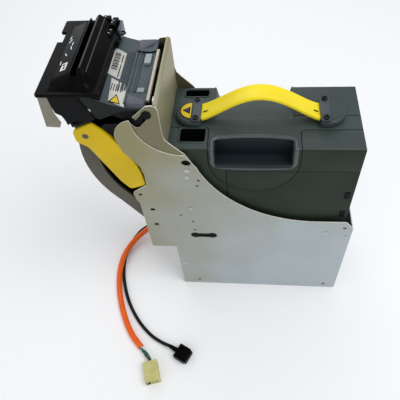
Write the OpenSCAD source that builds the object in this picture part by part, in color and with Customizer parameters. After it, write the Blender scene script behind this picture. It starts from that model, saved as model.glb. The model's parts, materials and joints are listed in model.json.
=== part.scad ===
// Bill validator with a lift-out note cassette, standing on its drive base.
// X runs from the note inlet to the cassette, Y across the notes, Z up.

/* [Chassis] */
// Length of the drive base
chassis_length = 204; // [200:1:208]
// Distance between the outer faces of the side plates
chassis_width = 104; // [104:0.5:106]
// Sheet thickness of the side plates
plate_t = 1.2; // [1:0.1:1.2]
// Height of the low right-hand shoulder of the side plates
shoulder_z = 154.5; // [150:0.5:155]
// Radius of the hollow curve in the top edge of the side plates
sweep_r = 133.3; // [132:0.1:134]
// Height of the spacing holes above the base
side_hole_z = 9; // [8:0.5:14]
// Distance between the two spacing holes
side_hole_pitch = 167; // [160:1:170]

/* [Cassette] */
// Height of the cassette's roof
cassette_top = 262; // [258:1:264]
// Height of the cassette's floor
cassette_floor = 88; // [87:0.5:92]
// Wall thickness of the cassette
cassette_wall = 3; // [2.5:0.1:3.5]
// Width of the yellow strap
strap_width = 22; // [18:1:24]
// Height of the strap's arch above its feet
strap_rise = 25; // [18:1:30]

/* [Head] */
// Height of the hook pin that the head swings on
pin_z = 311.2; // [310:0.1:312]
// Radius of the hook pin
pin_r = 3.5; // [3:0.1:4]
// Outer radius of the curved note guide
guide_r = 114.4; // [114:0.1:115]
// Height of the bezel's flange
bezel_z = 335; // [334:0.5:336]
// Clear height of the note path
path_gap = 3; // [2.6:0.1:3]

/* [Drive] */
// Teeth on the stacker pinion
pinion_teeth = 16; // [16:1:16]
// Module of the stacker rack and pinion
rack_module = 1.5; // [1.5:0.1:1.5]
// Teeth on the motor pinion
motor_teeth = 12; // [12:1:12]
// Teeth on the stacker gear
stacker_teeth = 36; // [36:1:36]

/* [Cords] */
// Diameter of the orange power cord
orange_d = 7.6; // [7:0.1:7.6]
// Diameter of the black data cord
black_d = 4.4; // [4:0.1:4.4]

/* [Hidden] */

zinc = [0.72, 0.73, 0.70];
slate = [0.23, 0.27, 0.27];
slate_blue = [0.27, 0.31, 0.34];
black = [0.06, 0.06, 0.07];
yellow = [0.95, 0.80, 0.10];
steel = [0.60, 0.61, 0.62];
grey = [0.55, 0.56, 0.55];
rubber = [0.15, 0.15, 0.16];
green = [0.10, 0.35, 0.20];
orange = [0.93, 0.36, 0.10];
cream = [0.90, 0.87, 0.76];

eps = 0.01;
half_w = chassis_width/2;
inner_y = half_w - 2*plate_t;
layer_y = half_w - plate_t;
pin_x = -2;
column_x = -30.3;
column_z = 95;
sweep_x = 162;
sweep_z = shoulder_z + sweep_r;

// Curved guide: one arc, from its mouth down to where its straight foot begins
guide_x = 36.4;
guide_z = 249.7;
guide_mouth = 167;
guide_low = 217.6;
guide_y = 44;
skin_r = guide_r - 12;
inner_guide_r = skin_r - path_gap;

// Lower path: a straight fall, then a quarter turn on to the deck
deck_z = 79.2;
bend_r = 27;
bend_x = 21.4;
bend_z = deck_z + bend_r;
bend_a = 199.4;
fall_x = -22;
fall_z = 148;

// Belts and shafts under the deck
shaft_r = 3;
shaft_z = 72.5;
pulley_r = 7;
belt_t = 1.2;
shaft_x = [26, 184];
belt_y = 38;

// Stacker drive
rack_r = rack_module*pinion_teeth/2;
pinion_x = 90;
pinion_z = 44;
gear_module = 1;
gear_gap = gear_module*(motor_teeth + stacker_teeth)/2;
post_x = [58, 146];
pusher_z = 73;

// Cassette
case_x0 = 9.5;
case_x1 = 194.6;
case_y = 45;
roof_t = 4;
door_z = [158, 228];
door_hinge = [193.2, 40.2];
door_pin_r = 0.8;
scoop_x = [51, 131];
grip_x = [52, 131.5];
grip_y = -28.5;
grip_z = 238;
well_x = [19.5, 45];
rear_well_y = [30, 41];
front_well_y = [-36, -17];

// Handle
pad_r = 17;
pad_x = [30.8, 162.6];
pad_z = cassette_top + 8;
strap_x = [39.7, 155.2];
strap_t = 4.6;

// Head
lever_x = -64;
lever_z = 285;
lever_pin_r = 3;
lever_y = [46.2, 50.8];
throat_x = [-61.5, -56.5];
roller_z = 315;
drive_roller_x = -53;
idler_roller_x = -65.9;
roller_y = [-30, -10, 10, 30];

orange_route = [
    [-16, 24, 91], [-16, 24, 82], [-17, 24.5, 70], [-21, 25.5, 56], [-28, 27, 43],
    [-38, 28, 31], [-51, 28, 21], [-64, 24.5, 13.5], [-75, 15, 9.6], [-83, 4, 8.8],
    [-88.5, -8, 8.7], [-92, -20, 8.4], [-93.5, -32, 7.2], [-94, -44, 5.4], [-91.8, -61, 4],
    [-87, -80, 3.9], [-78.5, -102, 3.9], [-69.5, -120, 3.9], [-59.5, -135, 3.9],
    [-46.5, -149, 3.9]
];
pigtail_route = [[-46.5, -149, 3.9], [-41.5, -154.5, 4.3], [-36.2, -160.5, 5.2], [-31.9, -167.8, 6]];
black_route = [
    [-16, 38, 91], [-16, 38, 80], [-18, 39, 66], [-24, 40.5, 48], [-35, 42, 32],
    [-48, 42, 18], [-62, 38, 7.5], [-75, 29.5, 3], [-83, 16, 2.3], [-88, 2, 2.3],
    [-90.5, -12, 2.3], [-91, -24, 2.3], [-89.3, -40, 2.3], [-85.5, -56.5, 2.3],
    [-77, -79.5, 2.3], [-65.5, -100, 2.3], [-51.5, -118, 2.3], [-35.5, -132.5, 2.4],
    [-21, -141, 3.4], [-9.5, -145.8, 5]
];

// ---- helpers ----
function arc(cx, cz, r, a0, a1, n = 16) =
    [for (i = [0:n]) let (a = a0 + (a1 - a0)*i/n) [cx + r*cos(a), cz + r*sin(a)]];

module part_frame() {
    translate([-chassis_length/2, 0, 0]) children();
}

// An outline drawn in X and Z, carried along Y
module along_y(y0, y1) {
    translate([0, y1, 0]) rotate([90, 0, 0]) linear_extrude(y1 - y0) children();
}

module both_sides() {
    children();
    mirror([0, 1, 0]) children();
}

module block(x, y, z) {
    translate([x[0], y[0], z[0]]) cube([x[1] - x[0], y[1] - y[0], z[1] - z[0]]);
}

module rod_y(x, z, r, y0, y1) {
    translate([x, y1, z]) rotate([90, 0, 0]) cylinder(r = r, h = y1 - y0, $fn = 48);
}

module ring_y(x, z, r_out, r_in, y0, y1) {
    difference() {
        rod_y(x, z, r_out, y0, y1);
        rod_y(x, z, r_in, y0 - 1, y1 + 1);
    }
}

// Band between two radii about one centre, in X and Z
module band(cx, cz, r_in, r_out, a0, a1, n = 24) {
    polygon(concat(arc(cx, cz, r_out, a0, a1, n), arc(cx, cz, r_in, a1, a0, n)));
}

module rounded(w, h, r) {
    union() {
        square([w - 2*r, h], center = true);
        square([w, h - 2*r], center = true);
        for (i = [-1, 1], j = [-1, 1]) translate([i*(w/2 - r), j*(h/2 - r)]) circle(r, $fn = 32);
    }
}

// Tooth flanks: involute of the base circle
function involute(rb, t) = [rb*(cos(t) + t*PI/180*sin(t)), rb*(sin(t) - t*PI/180*cos(t))];
function turn(p, a) = [p[0]*cos(a) - p[1]*sin(a), p[0]*sin(a) + p[1]*cos(a)];

module gear_outline(teeth, m, slack) {
    rp = m*teeth/2;
    rb = rp*cos(20);
    ra = rp + 0.75*m;
    rf = rp - 1.05*m;
    t_end = sqrt(pow(ra/rb, 2) - 1)*180/PI;
    t_pitch = tan(20)*180/PI;
    half = 90/teeth - slack + (t_pitch - 20);
    steps = 6;
    side = [for (i = [0:steps]) turn(involute(rb, t_end*i/steps), -half)];
    other = [for (i = [steps:-1:0]) [side[i][0], -side[i][1]]];
    root_a = atan2(side[0][1], side[0][0]);
    tooth = concat([[rf*cos(root_a), rf*sin(root_a)]], side, other,
        [[rf*cos(root_a), -rf*sin(root_a)]]);
    polygon([for (k = [0:teeth - 1], p = tooth) turn(p, 360*k/teeth)]);
}

// Tube swept along a route: each ring is square to the path and keeps the last ring's turn
function smooth(p, i, t) =
    let (n = len(p) - 1, a = p[max(i - 1, 0)], b = p[i], c = p[min(i + 1, n)], d = p[min(i + 2, n)])
    0.5*(2*b + (c - a)*t + (2*a - 5*b + 4*c - d)*t*t + (3*b - a - 3*c + d)*t*t*t);
function unit(v) = v/norm(v);
function heading(path, i) = unit(path[min(i + 1, len(path) - 1)] - path[max(i - 1, 0)]);
function carried(path, i, side) =
    i == len(path) ? [] :
    let (dir = heading(path, i), u = unit(side - dir*(side*dir))) concat([u], carried(path, i + 1, u));

module tube(route, d, sides, per_leg = 1) {
    path = concat([for (i = [0:len(route) - 2], k = [0:per_leg - 1]) smooth(route, i, k/per_leg)],
        [route[len(route) - 1]]);
    last = len(path) - 1;
    sideways = carried(path, 0, [1, 0.3, 0]);
    pts = [for (i = [0:last], k = [0:sides - 1])
        let (u = sideways[i], v = cross(heading(path, i), u))
        path[i] + d/2*(u*cos(360*k/sides) + v*sin(360*k/sides))];
    walls = [for (i = [0:last - 1], k = [0:sides - 1]) let (j = (k + 1)%sides)
        [(i + 1)*sides + k, (i + 1)*sides + j, i*sides + j, i*sides + k]];
    start = [for (k = [0:sides - 1]) k];
    end = [for (k = [sides - 1:-1:0]) last*sides + k];
    polyhedron(pts, concat([start], walls, [end]), convexity = 8);
}

// ---- chassis sheets ----
module side_outline() {
    polygon(concat(
        [[0, 0], [chassis_length, 0], [chassis_length, shoulder_z - 11.5], [195, shoulder_z]],
        arc(sweep_x, sweep_z, sweep_r, 270, 199.3, 28),
        arc(26.3, 305, 44.7, 270, 180, 16),
        arc(-14.5, 284.5, 21.5, 105, 195, 12),
        [[-32.5, 266], [-26, 255], [-19.5, 244], [-17.5, 231], [-18, 215]],
        [[-32.7, 204.4], [-34.7, 200], [-33.1, 190.4], [column_x, 182.6]],
        [[column_x, column_z], [0, column_z]]));
}

module plate_holes() {
    for (x = [22, 22 + side_hole_pitch]) translate([x, side_hole_z]) circle(2.1, $fn = 40);
    translate([26.7, 249.2]) circle(4.8, $fn = 48);
    for (p = [[37, 223.3], [35, 214.7], [12.5, 162], [25, 150.3], [25.5, 133]])
        translate(p) circle(1.5, $fn = 24);
    for (p = [[-27.3, 198.7], [194.7, 143]]) translate(p) circle(2, $fn = 32);
    for (z = [171.8, 142.8]) translate([-18.2, z]) square(5, center = true);
}

module connector_window() {
    for (x = [25.6, 45.6]) translate([x, 121.8]) circle(5.6, $fn = 48);
    translate([25.6, 117.5]) square([20, 8.6]);
}

module side_plate(window) {
    color(zinc) along_y(-half_w, -layer_y) difference() {
        side_outline();
        plate_holes();
        if (window) connector_window();
    }
}

module side_plate_front() {
    side_plate(window = true);
}

module side_plate_rear() {
    mirror([0, 1, 0]) side_plate(window = false);
}

// Inner sheet with the hook that the head's pin drops into
module hook_plate() {
    slot_w = 2*pin_r + 0.06;
    color(zinc) along_y(-layer_y, -inner_y) difference() {
        polygon(concat(
            [[-16.5, 225], [30, 225], [33, 247], [26.6, 261], [14.8, 274], [10, 280], [8.8, 286]],
            arc(2.6, 315.1, 6.2, 0, 90, 8), [[-1.7, 320.5], [-15.5, 308], [-20.8, 306]]));
        translate([26.7, 249.2]) circle(4.8, $fn = 48);
        translate([pin_x, pin_z]) {
            circle(pin_r + 0.05, $fn = 64);
            rotate(228) translate([0, -slot_w/2]) square([15.6, slot_w]);
        }
        translate([-12.4, 299.6]) {
            circle(pin_r + 0.4, $fn = 48);
            rotate(130) translate([0, -slot_w/2]) square([18, slot_w]);
        }
    }
}

module hook_plate_front() {
    hook_plate();
}

module hook_plate_rear() {
    mirror([0, 1, 0]) hook_plate();
}

module base_pan() {
    color(zinc) {
        block([0, chassis_length], [-layer_y, layer_y], [0, plate_t]);
        both_sides() block([1.2, 202.6], [49.6, layer_y], [plate_t, 5]);
        block([0, plate_t], [-layer_y, layer_y], [plate_t, 86]);
    }
}

module end_wall() {
    color(zinc) {
        block([202.6, 203.8], [-layer_y, layer_y], [plate_t, 143]);
        both_sides() block([197, 202.6], [49.6, layer_y], [20, 140]);
    }
}

module column_floor() {
    color(zinc) difference() {
        along_y(-layer_y, layer_y)
            polygon([[column_x, column_z], [-7, column_z], [-7, column_z + plate_t],
                [column_x + plate_t, column_z + plate_t], [column_x + plate_t, 142], [column_x, 142]]);
        translate([-16, 24, column_z - 1]) cylinder(r = 5.6, h = 4, $fn = 48);
        translate([-16, 38, column_z - 1]) cylinder(r = 4, h = 4, $fn = 48);
    }
}

module bay_wall() {
    color(zinc) along_y(-49.5, 49.5)
        polygon(concat([[7.6, 92], [8.8, 92]], arc(6, 319.2, 2.8, 0, 90, 6), [[5, 322], [5, 320.8]],
            arc(6, 319.2, 1.6, 90, 0, 6)));
}

// ---- note path ----
function bend_point(r) = [bend_x + r*cos(bend_a), bend_z + r*sin(bend_a)];

module belt_slots() {
    both_sides() block([12, 198], [belt_y - 3, belt_y + 3], [60, 90]);
}

module path_outer_guide() {
    out = [cos(bend_a), sin(bend_a)];
    color(steel) difference() {
        along_y(-46, 46)
            polygon(concat([[fall_x, fall_z]], arc(bend_x, bend_z, bend_r, bend_a, 270, 12),
                arc(bend_x, bend_z, bend_r + plate_t, 270, bend_a, 12),
                [[fall_x, fall_z] + plate_t*out]));
        belt_slots();
    }
}

module path_inner_guide() {
    r = inner_guide_r;
    top = [guide_x + r*cos(guide_low), guide_z + r*sin(guide_low)];
    back = [guide_x + (r - plate_t)*cos(guide_low), guide_z + (r - plate_t)*sin(guide_low)];
    knee = [-19.1, 150.4];
    color(black) along_y(-41, 41) union() {
        band(guide_x, guide_z, r - plate_t, r, 160, guide_low, 20);
        polygon([[-57, 283.7], [-47, 292.2], [-6, 292.2], [-6, 291], [-46.5, 291], [-55.5, 283.2]]);
        polygon([top, knee, knee + [1.2, 0.5], back]);
        polygon(concat([knee], arc(bend_x, bend_z, bend_r - path_gap, bend_a, 258, 10),
            arc(bend_x, bend_z, bend_r - path_gap - plate_t, 258, bend_a, 10), [knee + [1.2, 0.5]]));
    }
}

module transport_deck() {
    color(steel) difference() {
        block([21.5, 196], [-46, 46], [deck_z - plate_t, deck_z]);
        belt_slots();
        block([35, 169], [-31, 31], [70, 90]);
    }
    color(steel) both_sides() block([40, 176], [46, layer_y], [deck_z - plate_t, deck_z]);
}

module stadium(r) {
    for (x = shaft_x) translate([x, shaft_z]) circle(r, $fn = 64);
    translate([shaft_x[0], shaft_z - r]) square([shaft_x[1] - shaft_x[0], 2*r]);
}

module transport_belts() {
    color(rubber) both_sides() along_y(belt_y - 2, belt_y + 2) difference() {
        stadium(pulley_r + belt_t);
        stadium(pulley_r + 0.2);
    }
}

module shaft_bearings() {
    color(black) for (x = shaft_x) {
        ring_y(x, shaft_z, 6, shaft_r + 0.05, -layer_y, -47.5);
        ring_y(x, shaft_z, 6, shaft_r + 0.05, 49, layer_y);
    }
}

module pulley_shaft(x) {
    color(steel) rod_y(x, shaft_z, shaft_r, -50.5, 50.5);
    color(black) both_sides() rod_y(x, shaft_z, pulley_r, belt_y - 2.2, belt_y + 2.2);
}

module drive_shaft() {
    pulley_shaft(shaft_x[0]);
    color(cream) translate([shaft_x[0], 0, shaft_z]) along_y(46.6, 48.6) gear_outline(24, gear_module, 0.5);
}

module idler_shaft() {
    pulley_shaft(shaft_x[1]);
}

module transport_motor() {
    color(steel) rod_y(shaft_x[0], shaft_z - 18, 9, 5, 45);
}

module transport_pinion() {
    color("goldenrod") translate([shaft_x[0], 0, shaft_z - 18]) {
        along_y(46.4, 48.8) rotate(15) gear_outline(motor_teeth, gear_module, 0.5);
        rod_y(0, 0, 1.5, 45.1, 46.4);
    }
}

// ---- stacker drive ----
module saddle(x, z, r, y0, y1) {
    difference() {
        block([x - 6, x + 6], [y0, y1], [plate_t, z - r + 2]);
        rod_y(x, z, r, y0 - 1, y1 + 1);
    }
}

module stacker_frame() {
    color(steel) {
        for (x = post_x) translate([x, 0, plate_t]) cylinder(r = 3, h = 70 - plate_t, $fn = 48);
        both_sides() difference() {
            block([84, 96], [26, 29], [plate_t, 52]);
            rod_y(pinion_x, pinion_z, shaft_r + 0.05, 25, 30);
        }
        saddle(pinion_x - gear_gap, pinion_z, 10, 10, 26);
        saddle(shaft_x[0], shaft_z - 18, 9, 8, 42);
    }
}

module stacker_motor() {
    color(steel) rod_y(pinion_x - gear_gap, pinion_z, 10, 8, 28);
}

module motor_gear() {
    color("goldenrod") translate([pinion_x - gear_gap, 0, pinion_z]) {
        along_y(31, 35) rotate(15) gear_outline(motor_teeth, gear_module, 0.5);
        rod_y(0, 0, 1.5, 28.1, 31);
    }
}

module pinion_shaft() {
    color(steel) rod_y(pinion_x, pinion_z, shaft_r, -29.4, 35.2);
    color(cream) translate([pinion_x, 0, pinion_z]) {
        both_sides() along_y(18.2, 23.8) gear_outline(pinion_teeth, rack_module, 0.6);
        along_y(31.2, 34.8) gear_outline(stacker_teeth, gear_module, 0.4);
    }
}

// Rack whose gaps face the pinion's teeth at rest
module rack_outline() {
    pitch = PI*rack_module;
    tip = 0.75*rack_module;
    root = 1.05*rack_module;
    half = pitch/4 - 0.12;
    x = pinion_x + rack_r;
    translate([x + root, 25]) square([5, pusher_z - 25]);
    for (k = [-4:5]) translate([x, pinion_z + (k + 0.5)*pitch])
        polygon([[root + eps, -half - root*tan(20)], [-tip, -half + tip*tan(20)],
            [-tip, half - tip*tan(20)], [root + eps, half + root*tan(20)]]);
}

module pusher_plate() {
    color(cream) {
        block([38, 166], [-29, 29], [pusher_z, pusher_z + 1.5]);
        both_sides() along_y(18.6, 23.4) rack_outline();
        for (x = post_x) translate([x, 0, 25]) difference() {
            cylinder(r = 5.5, h = pusher_z - 25, $fn = 48);
            translate([0, 0, -1]) cylinder(r = 3.05, h = pusher_z - 24, $fn = 48);
        }
    }
}

// ---- electronics and chassis hardware ----
module main_board() {
    color(green) block([3, 4.6], [-40, 40], [110, 300]);
    color(black) {
        block([0, 3], [-14, 14], [180, 208]);
        block([0.6, 3], [-34, -20], [150, 172]);
        block([-3, 3], [18, 36], [240, 262]);
        block([0.6, 3], [8, 30], [120, 140]);
    }
}

module side_connector() {
    color(black) {
        block([19, 52], [-layer_y, -49.4], [113.5, 130]);
        difference() {
            block([24, 47], [-51.6, -46.4], [118, 125.6]);
            for (x = [27:4:43]) block([x, x + 2], [-53, -48.5], [120, 123.6]);
        }
    }
}

module chassis_rivets() {
    color(steel) both_sides()
        for (p = [[26.8, 238.9], [26, 228.9], [24.8, 175.3], [175.3, 133.9], [198.7, 125.4], [6, 56.2]])
            rod_y(p[0], p[1], 2.6, half_w, half_w + 0.6);
}

module gland(y, r) {
    translate([-16, y, 91]) cylinder(r = r + 2.8, h = 4, $fn = 48);
    translate([-16, y, 95]) cylinder(r = r + 1.8, h = 3, $fn = 48);
}

module cord_gland() {
    color(black) {
        gland(24, orange_d/2);
        gland(38, black_d/2);
    }
}

module orange_cord() {
    color(orange) tube(orange_route, orange_d, 10);
}

module orange_pigtail() {
    color(cream) tube(pigtail_route, 5, 8);
}

module orange_plug() {
    color(cream) translate([-28, -180, 0]) rotate(-72.4) difference() {
        block([-12.8, 12.8], [-9, 9], [0, 12]);
        for (y = [-6.2, -1.6, 3]) block([5, 13], [y, y + 3.2], [1.8, 5.2]);
        for (y = [-6.2, -1.6, 3]) block([5, 13], [y, y + 3.2], [6.8, 10.2]);
    }
}

module black_cord() {
    color(black) tube(black_route, black_d, 8, 2);
}

module black_plug() {
    color(black) translate([0.9, -151.3, 5]) rotate(-28.06) {
        rotate([0, -90, 0]) cylinder(r1 = 3.4, r2 = 2.25, h = 11.8, $fn = 32);
        block([0, 15], [-9.2, 9.2], [-5, 5]);
        block([15, 18], [-8.2, 8.2], [-4, 4]);
    }
}

// ---- cassette ----
module case_half() {
    difference() {
        block([case_x0, case_x1], [-case_y, 0], [cassette_floor, cassette_top - roof_t]);
        block([case_x0 + cassette_wall, case_x1 - cassette_wall], [cassette_wall - case_y, 1],
            [cassette_floor + cassette_wall, cassette_top]);
        block([35, 170], [-32, 1], [80, 95]);
    }
    block([20, 184], [cassette_wall - case_y, -38], [100.5, 103.5]);
}

module cassette_front() {
    color(slate) difference() {
        case_half();
        block([190, 196], [-39, 1], door_z);
        block(grip_x, [-46, grip_y], [grip_z, 263]);
    }
}

module cassette_rear() {
    color(slate) difference() {
        mirror([0, 1, 0]) case_half();
        block([190, 196], [-1, 41.9], door_z);
        translate([door_hinge[0], door_hinge[1], door_z[0] - 2])
            cylinder(r = door_pin_r + 0.05, h = door_z[1] - door_z[0] + 4, $fn = 24);
        block(scoop_x, [40, 46], [249, 263]);
    }
}

// Roof with a finger scoop that falls to the rear, cut round the wells and the grip
module cassette_roof() {
    low = cassette_top - roof_t;
    color(slate) {
        difference() {
            block([case_x0, case_x1], [-case_y, case_y], [low, cassette_top]);
            block(scoop_x, [-5, 46], [250, 263]);
            block(grip_x, [-46, grip_y], [250, 263]);
            block(well_x, rear_well_y, [250, 263]);
            block(well_x, front_well_y, [250, 263]);
        }
        intersection() {
            block([scoop_x[0] - 3, scoop_x[1] + 3], [-5, 41.9], [240, cassette_top]);
            union() {
                translate([scoop_x[0] - 3, 0, 0]) rotate([90, 0, 90]) linear_extrude(scoop_x[1] - scoop_x[0] + 6)
                    polygon([[-5, cassette_top], [-5, low], [42, 245.4], [42, 249]]);
                for (x = [scoop_x[0] - 3, scoop_x[1]]) block([x, x + 3], [-5, 41.9], [245.4, low]);
            }
        }
    }
}

// Tub let into the front upper edge, with a raised rim all round
module grip_pocket() {
    color(slate) {
        translate([52.2, 0, 0]) rotate([90, 0, 90]) linear_extrude(79)
            polygon([[-45, 238.2], [-28.7, 238.2], [-28.7, 262], [-31, 262], [-31, 241], [-45, 241]]);
        for (x = [52.2, 128.7]) block([x, x + 2.5], [-45, -28.7], [241, 262]);
        block([54.7, 128.7], [-47.2, -45], [238.4, 243]);
        block([54.7, 128.7], [-45, -43], [241, 243]);
    }
}

// Open box under the roof; edge is the thickness of its rear wall
module well(y, edge) {
    difference() {
        block([well_x[0] - 2, well_x[1] + 2], [y[0] - 2, y[1] + edge], [242, cassette_top - roof_t]);
        block(well_x, y, [244, 260]);
    }
}

module corner_wells() {
    color(black) {
        well(rear_well_y, 1);
        well(front_well_y, 2);
        for (y = [-31, -27, -23]) block(well_x, [y, y + 1.2], [244, 250]);
    }
}

// Round pad, cut flat on the side where the strap leaves it
module pad(to_flat) {
    linear_extrude(pad_z - cassette_top) intersection() {
        circle(pad_r, $fn = 96);
        translate([-pad_r - 1, -pad_r - 1]) square([pad_r + 1 + to_flat, 2*pad_r + 2]);
    }
}

module handle_pads() {
    color(slate) {
        translate([pad_x[0], 0, cassette_top]) pad(strap_x[0] - pad_x[0]);
        translate([pad_x[1], 0, cassette_top]) mirror([1, 0, 0]) pad(pad_x[1] - strap_x[1]);
    }
}

function arch(x) = pad_z + 0.6
    + strap_rise*pow(sin(180*(x - strap_x[0])/(strap_x[1] - strap_x[0])), 1.3);

module handle_strap() {
    steps = 24;
    xs = [for (i = [0:steps]) strap_x[0] + (strap_x[1] - strap_x[0])*i/steps];
    color(yellow) along_y(-strap_width/2, strap_width/2)
        polygon(concat([for (x = xs) [x, arch(x)]],
            [for (i = [steps:-1:0]) [xs[i], arch(xs[i]) - strap_t]]));
}

module handle_brackets() {
    width = 9.2;
    color(steel) for (x = [strap_x[0] - width, strap_x[1]])
        block([x, x + width], [-pad_r + 0.1, pad_r - 0.1], [pad_z, pad_z + 2]);
}

module handle_screws() {
    color(black) for (x = [34.5, 160.5], y = [-13.5, 13.5])
        translate([x, y, pad_z + 2]) difference() {
            cylinder(r = 3.3, h = 3, $fn = 40);
            translate([0, 0, 1.2]) cylinder(r = 1.6, h = 3, $fn = 6);
        }
}

module end_door() {
    color(slate) {
        height = door_z[1] - door_z[0];
        block([191.8, case_x1], [-38.6, door_hinge[1]], [door_z[0] + 0.3, door_z[1] - 0.3]);
        translate([door_hinge[0], door_hinge[1], door_z[0]]) {
            translate([0, 0, 0.3]) cylinder(r = 1.4, h = height - 0.6, $fn = 32);
            translate([0, 0, -1.7]) cylinder(r = door_pin_r, h = height + 3.4, $fn = 24);
        }
    }
}

module door_clips() {
    color(black) for (z = [157, 190])
        block([186, 192], [-46.4, -case_y], [z, z + 11]);
}

module follower_plate() {
    color(cream) {
        block([14, 190], [-40.5, 40.5], [104, 106]);
        for (x = [32, 152]) translate([x, 0, 106]) cylinder(r = 8, h = 3, $fn = 40);
    }
}

module follower_spring() {
    turns = 8;
    color(steel) for (x = [32, 152])
        tube([for (i = [0:8*turns]) [x + 9.6*cos(45*i), 9.6*sin(45*i), 107 + 150*i/(8*turns)]], 1.6, 6);
}

// ---- head ----
cover_top = [[-40.6, 325.3], [-31.8, 321.6], [-19.9, 318], [-13.7, 317.1], [-8, 316.6], [-2.2, 318.5]];
cover_wall = [[-57.9, 326.4], [-49, 306.3], [-45, 304.3], [-23.7, 313.8], [-13.7, 314.7]];

module housing_outline() {
    polygon([[-85.7, bezel_z], [-85.3, 322.5], [-84, 313], [-79, 309.7], [-77.3, 303.7], [-75.6, 291.6],
        [-56.5, 301.3], [-49, 306], [-45, 306], [-40.7, 325.3], [-40.7, bezel_z]]);
}

module housing_hollow() {
    polygon([[-83.2, bezel_z - 2.5], [-82.8, 322.8], [-81.7, 315], [-76.7, 311.6], [-75, 304],
        [-73.5, 295.9], [-57.6, 304], [-50, 308.6], [-46.9, 308.6], [-43.3, 325], [-43.3, bezel_z - 2.5]]);
}

module head_housing() {
    color(black) difference() {
        union() {
            difference() {
                along_y(-50, 50) housing_outline();
                along_y(-47.2, 47.2) housing_hollow();
            }
            block([-63, throat_x[0]], [-43, 43], [322.5, bezel_z - 2.4]);
            block([throat_x[1], -55], [-43, 43], [322.5, bezel_z - 2.4]);
        }
        block(throat_x, [-42, 42], [320, 340]);
        block([-64, -54], [-42, 42], [285, 310]);
        both_sides() {
            rod_y(lever_x, lever_z, 18.3, 45.9, 51);
            along_y(48, 51) polygon([[-57.9, bezel_z + 1], [-57.9, 326.4], [-49, 305], [-38, 305],
                [-38, bezel_z + 1]]);
        }
        for (x = [drive_roller_x, idler_roller_x]) rod_y(x, roller_z, 2.05, -49.2, 49.2);
    }
}

module head_cover() {
    ribs = [[-27.2, 320.2], [-24.2, 319.3], [-21.2, 318.4], [-18.2, 317.8], [-15.4, 317.4]];
    color(slate_blue) {
        along_y(-49.2, 49.2) polygon(concat(cover_top, [[-2.2, 316.2], [-8, 314.3], [-13.8, 314.8],
            [-20.3, 315.7], [-32.3, 319.3], [-40.6, 322.9]]));
        both_sides() along_y(48.1, 49.2) difference() {
            polygon(concat(cover_wall, [[-13.7, 317], [-19.9, 318], [-31.8, 321.6], [-40.6, 325.3],
                [-57.9, 334.9]]));
            translate([drive_roller_x, roller_z]) circle(2.8, $fn = 48);
        }
        along_y(-28, 28) for (p = ribs) translate([p[0], p[1] - 1]) square([1.3, 2.1]);
        for (y = [[-45, -31], [30, 45]]) along_y(y[0], y[1])
            polygon([[-22, 318], [-13.7, 316.5], [-8, 316], [-2.2, 317], [-2.2, 320.2], [-8, 318.6],
                [-14, 319.2], [-21.4, 320.4]]);
    }
}

module head_trim() {
    color([0.70, 0.76, 0.78]) for (y = [[-29.5, -24], [12, 26]]) along_y(y[0], y[1])
        polygon([[-12.2, 317.02], [-8, 316.66], [-6, 317.32], [-6, 319.4], [-12.2, 319.4]]);
}

module hinge_arms() {
    color(black) both_sides() {
        along_y(45.4, 48.1) union() {
            translate([pin_x, pin_z]) intersection() {
                circle(5, $fn = 64);
                translate([-6, -6]) square([12, 8.8]);
            }
            polygon([[-34, 308.6], [-28, 305.4], [-21, 298.5], [-17, 294], [-10, 293.4], [-7.5, 300],
                [pin_x - 3, pin_z - 4], [pin_x, pin_z + 2.6], [-7, 314], [-14, 314], [-24, 313.2]]);
        }
        rod_y(pin_x, pin_z, pin_r, 47, 51);
        rod_y(pin_x, pin_z, pin_r + 1, 50.95, 51.8);
    }
}

module release_bar() {
    color([0.75, 0.72, 0.64]) block([-2.2, 1], [-42, 32], [317, 320.4]);
}

module bezel_flange() {
    color(black) difference() {
        translate([-65.5, 0, bezel_z]) linear_extrude(3) rounded(55, 111, 2);
        block([-94, -88], [20, 35.6], [bezel_z - 1, bezel_z + 4]);
        block(throat_x, [-42, 42], [bezel_z - 1, bezel_z + 4]);
    }
}

module bezel_lip() {
    top = bezel_z + 3;
    color(black) difference() {
        union() {
            block([-82, -42], [-48, 48], [top, top + 1.2]);
            block([-64.8, throat_x[0]], [-41, 41], [top, bezel_z + 11.5]);
            along_y(-39, 43) polygon([[throat_x[1], top], [-55.6, top + 11.5], [-52.6, top + 14.5],
                [-49.5, top + 13], [-46.5, top + 5], [-42, top]]);
            hull() {
                along_y(-39.2, -38.9) polygon([[throat_x[1], top], [-55.6, top + 11.5],
                    [-52.6, top + 13.5], [-49.5, top + 12], [-42, top]]);
                block([-64, -43], [-48, -47.8], [top, top + 1.2]);
            }
        }
        block([throat_x[0], throat_x[1]], [-42, 42], [top - 1, top + 20]);
    }
}

module bezel_window() {
    z = bezel_z + 4.2;
    color([0.12, 0.13, 0.15]) along_y(-40, 40)
        polygon([[-80, z], [-80, z + 3.8], [-64.8, z + 6.8], [-64.8, z]]);
}

module roller(x, r, half_length) {
    color(steel) rod_y(x, roller_z, 2, -49, 49);
    color(rubber) for (y = roller_y) rod_y(x, roller_z, r, y - half_length, y + half_length);
}

module head_drive_roller() {
    roller(drive_roller_x, 6, 5);
}

module head_idler_roller() {
    roller(idler_roller_x, 6.6, 4);
}

module head_board() {
    color(green) {
        block([-80.5, -79], [-40, 40], [317, 331]);
        block([-50, -48.6], [-40, 40], [322, 331]);
    }
}

module rear_socket() {
    color(black) {
        block([-40.7, -37.4], [24, 48], [327.5, bezel_z - 0.2]);
        for (y = [26, 34, 42]) block([-37.4, -36.2], [y, y + 4.5], [329, 333]);
    }
}

// ---- curved guide below the head ----
function on_guide(r, a) = [guide_x + r*cos(a), guide_z + r*sin(a)];

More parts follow.
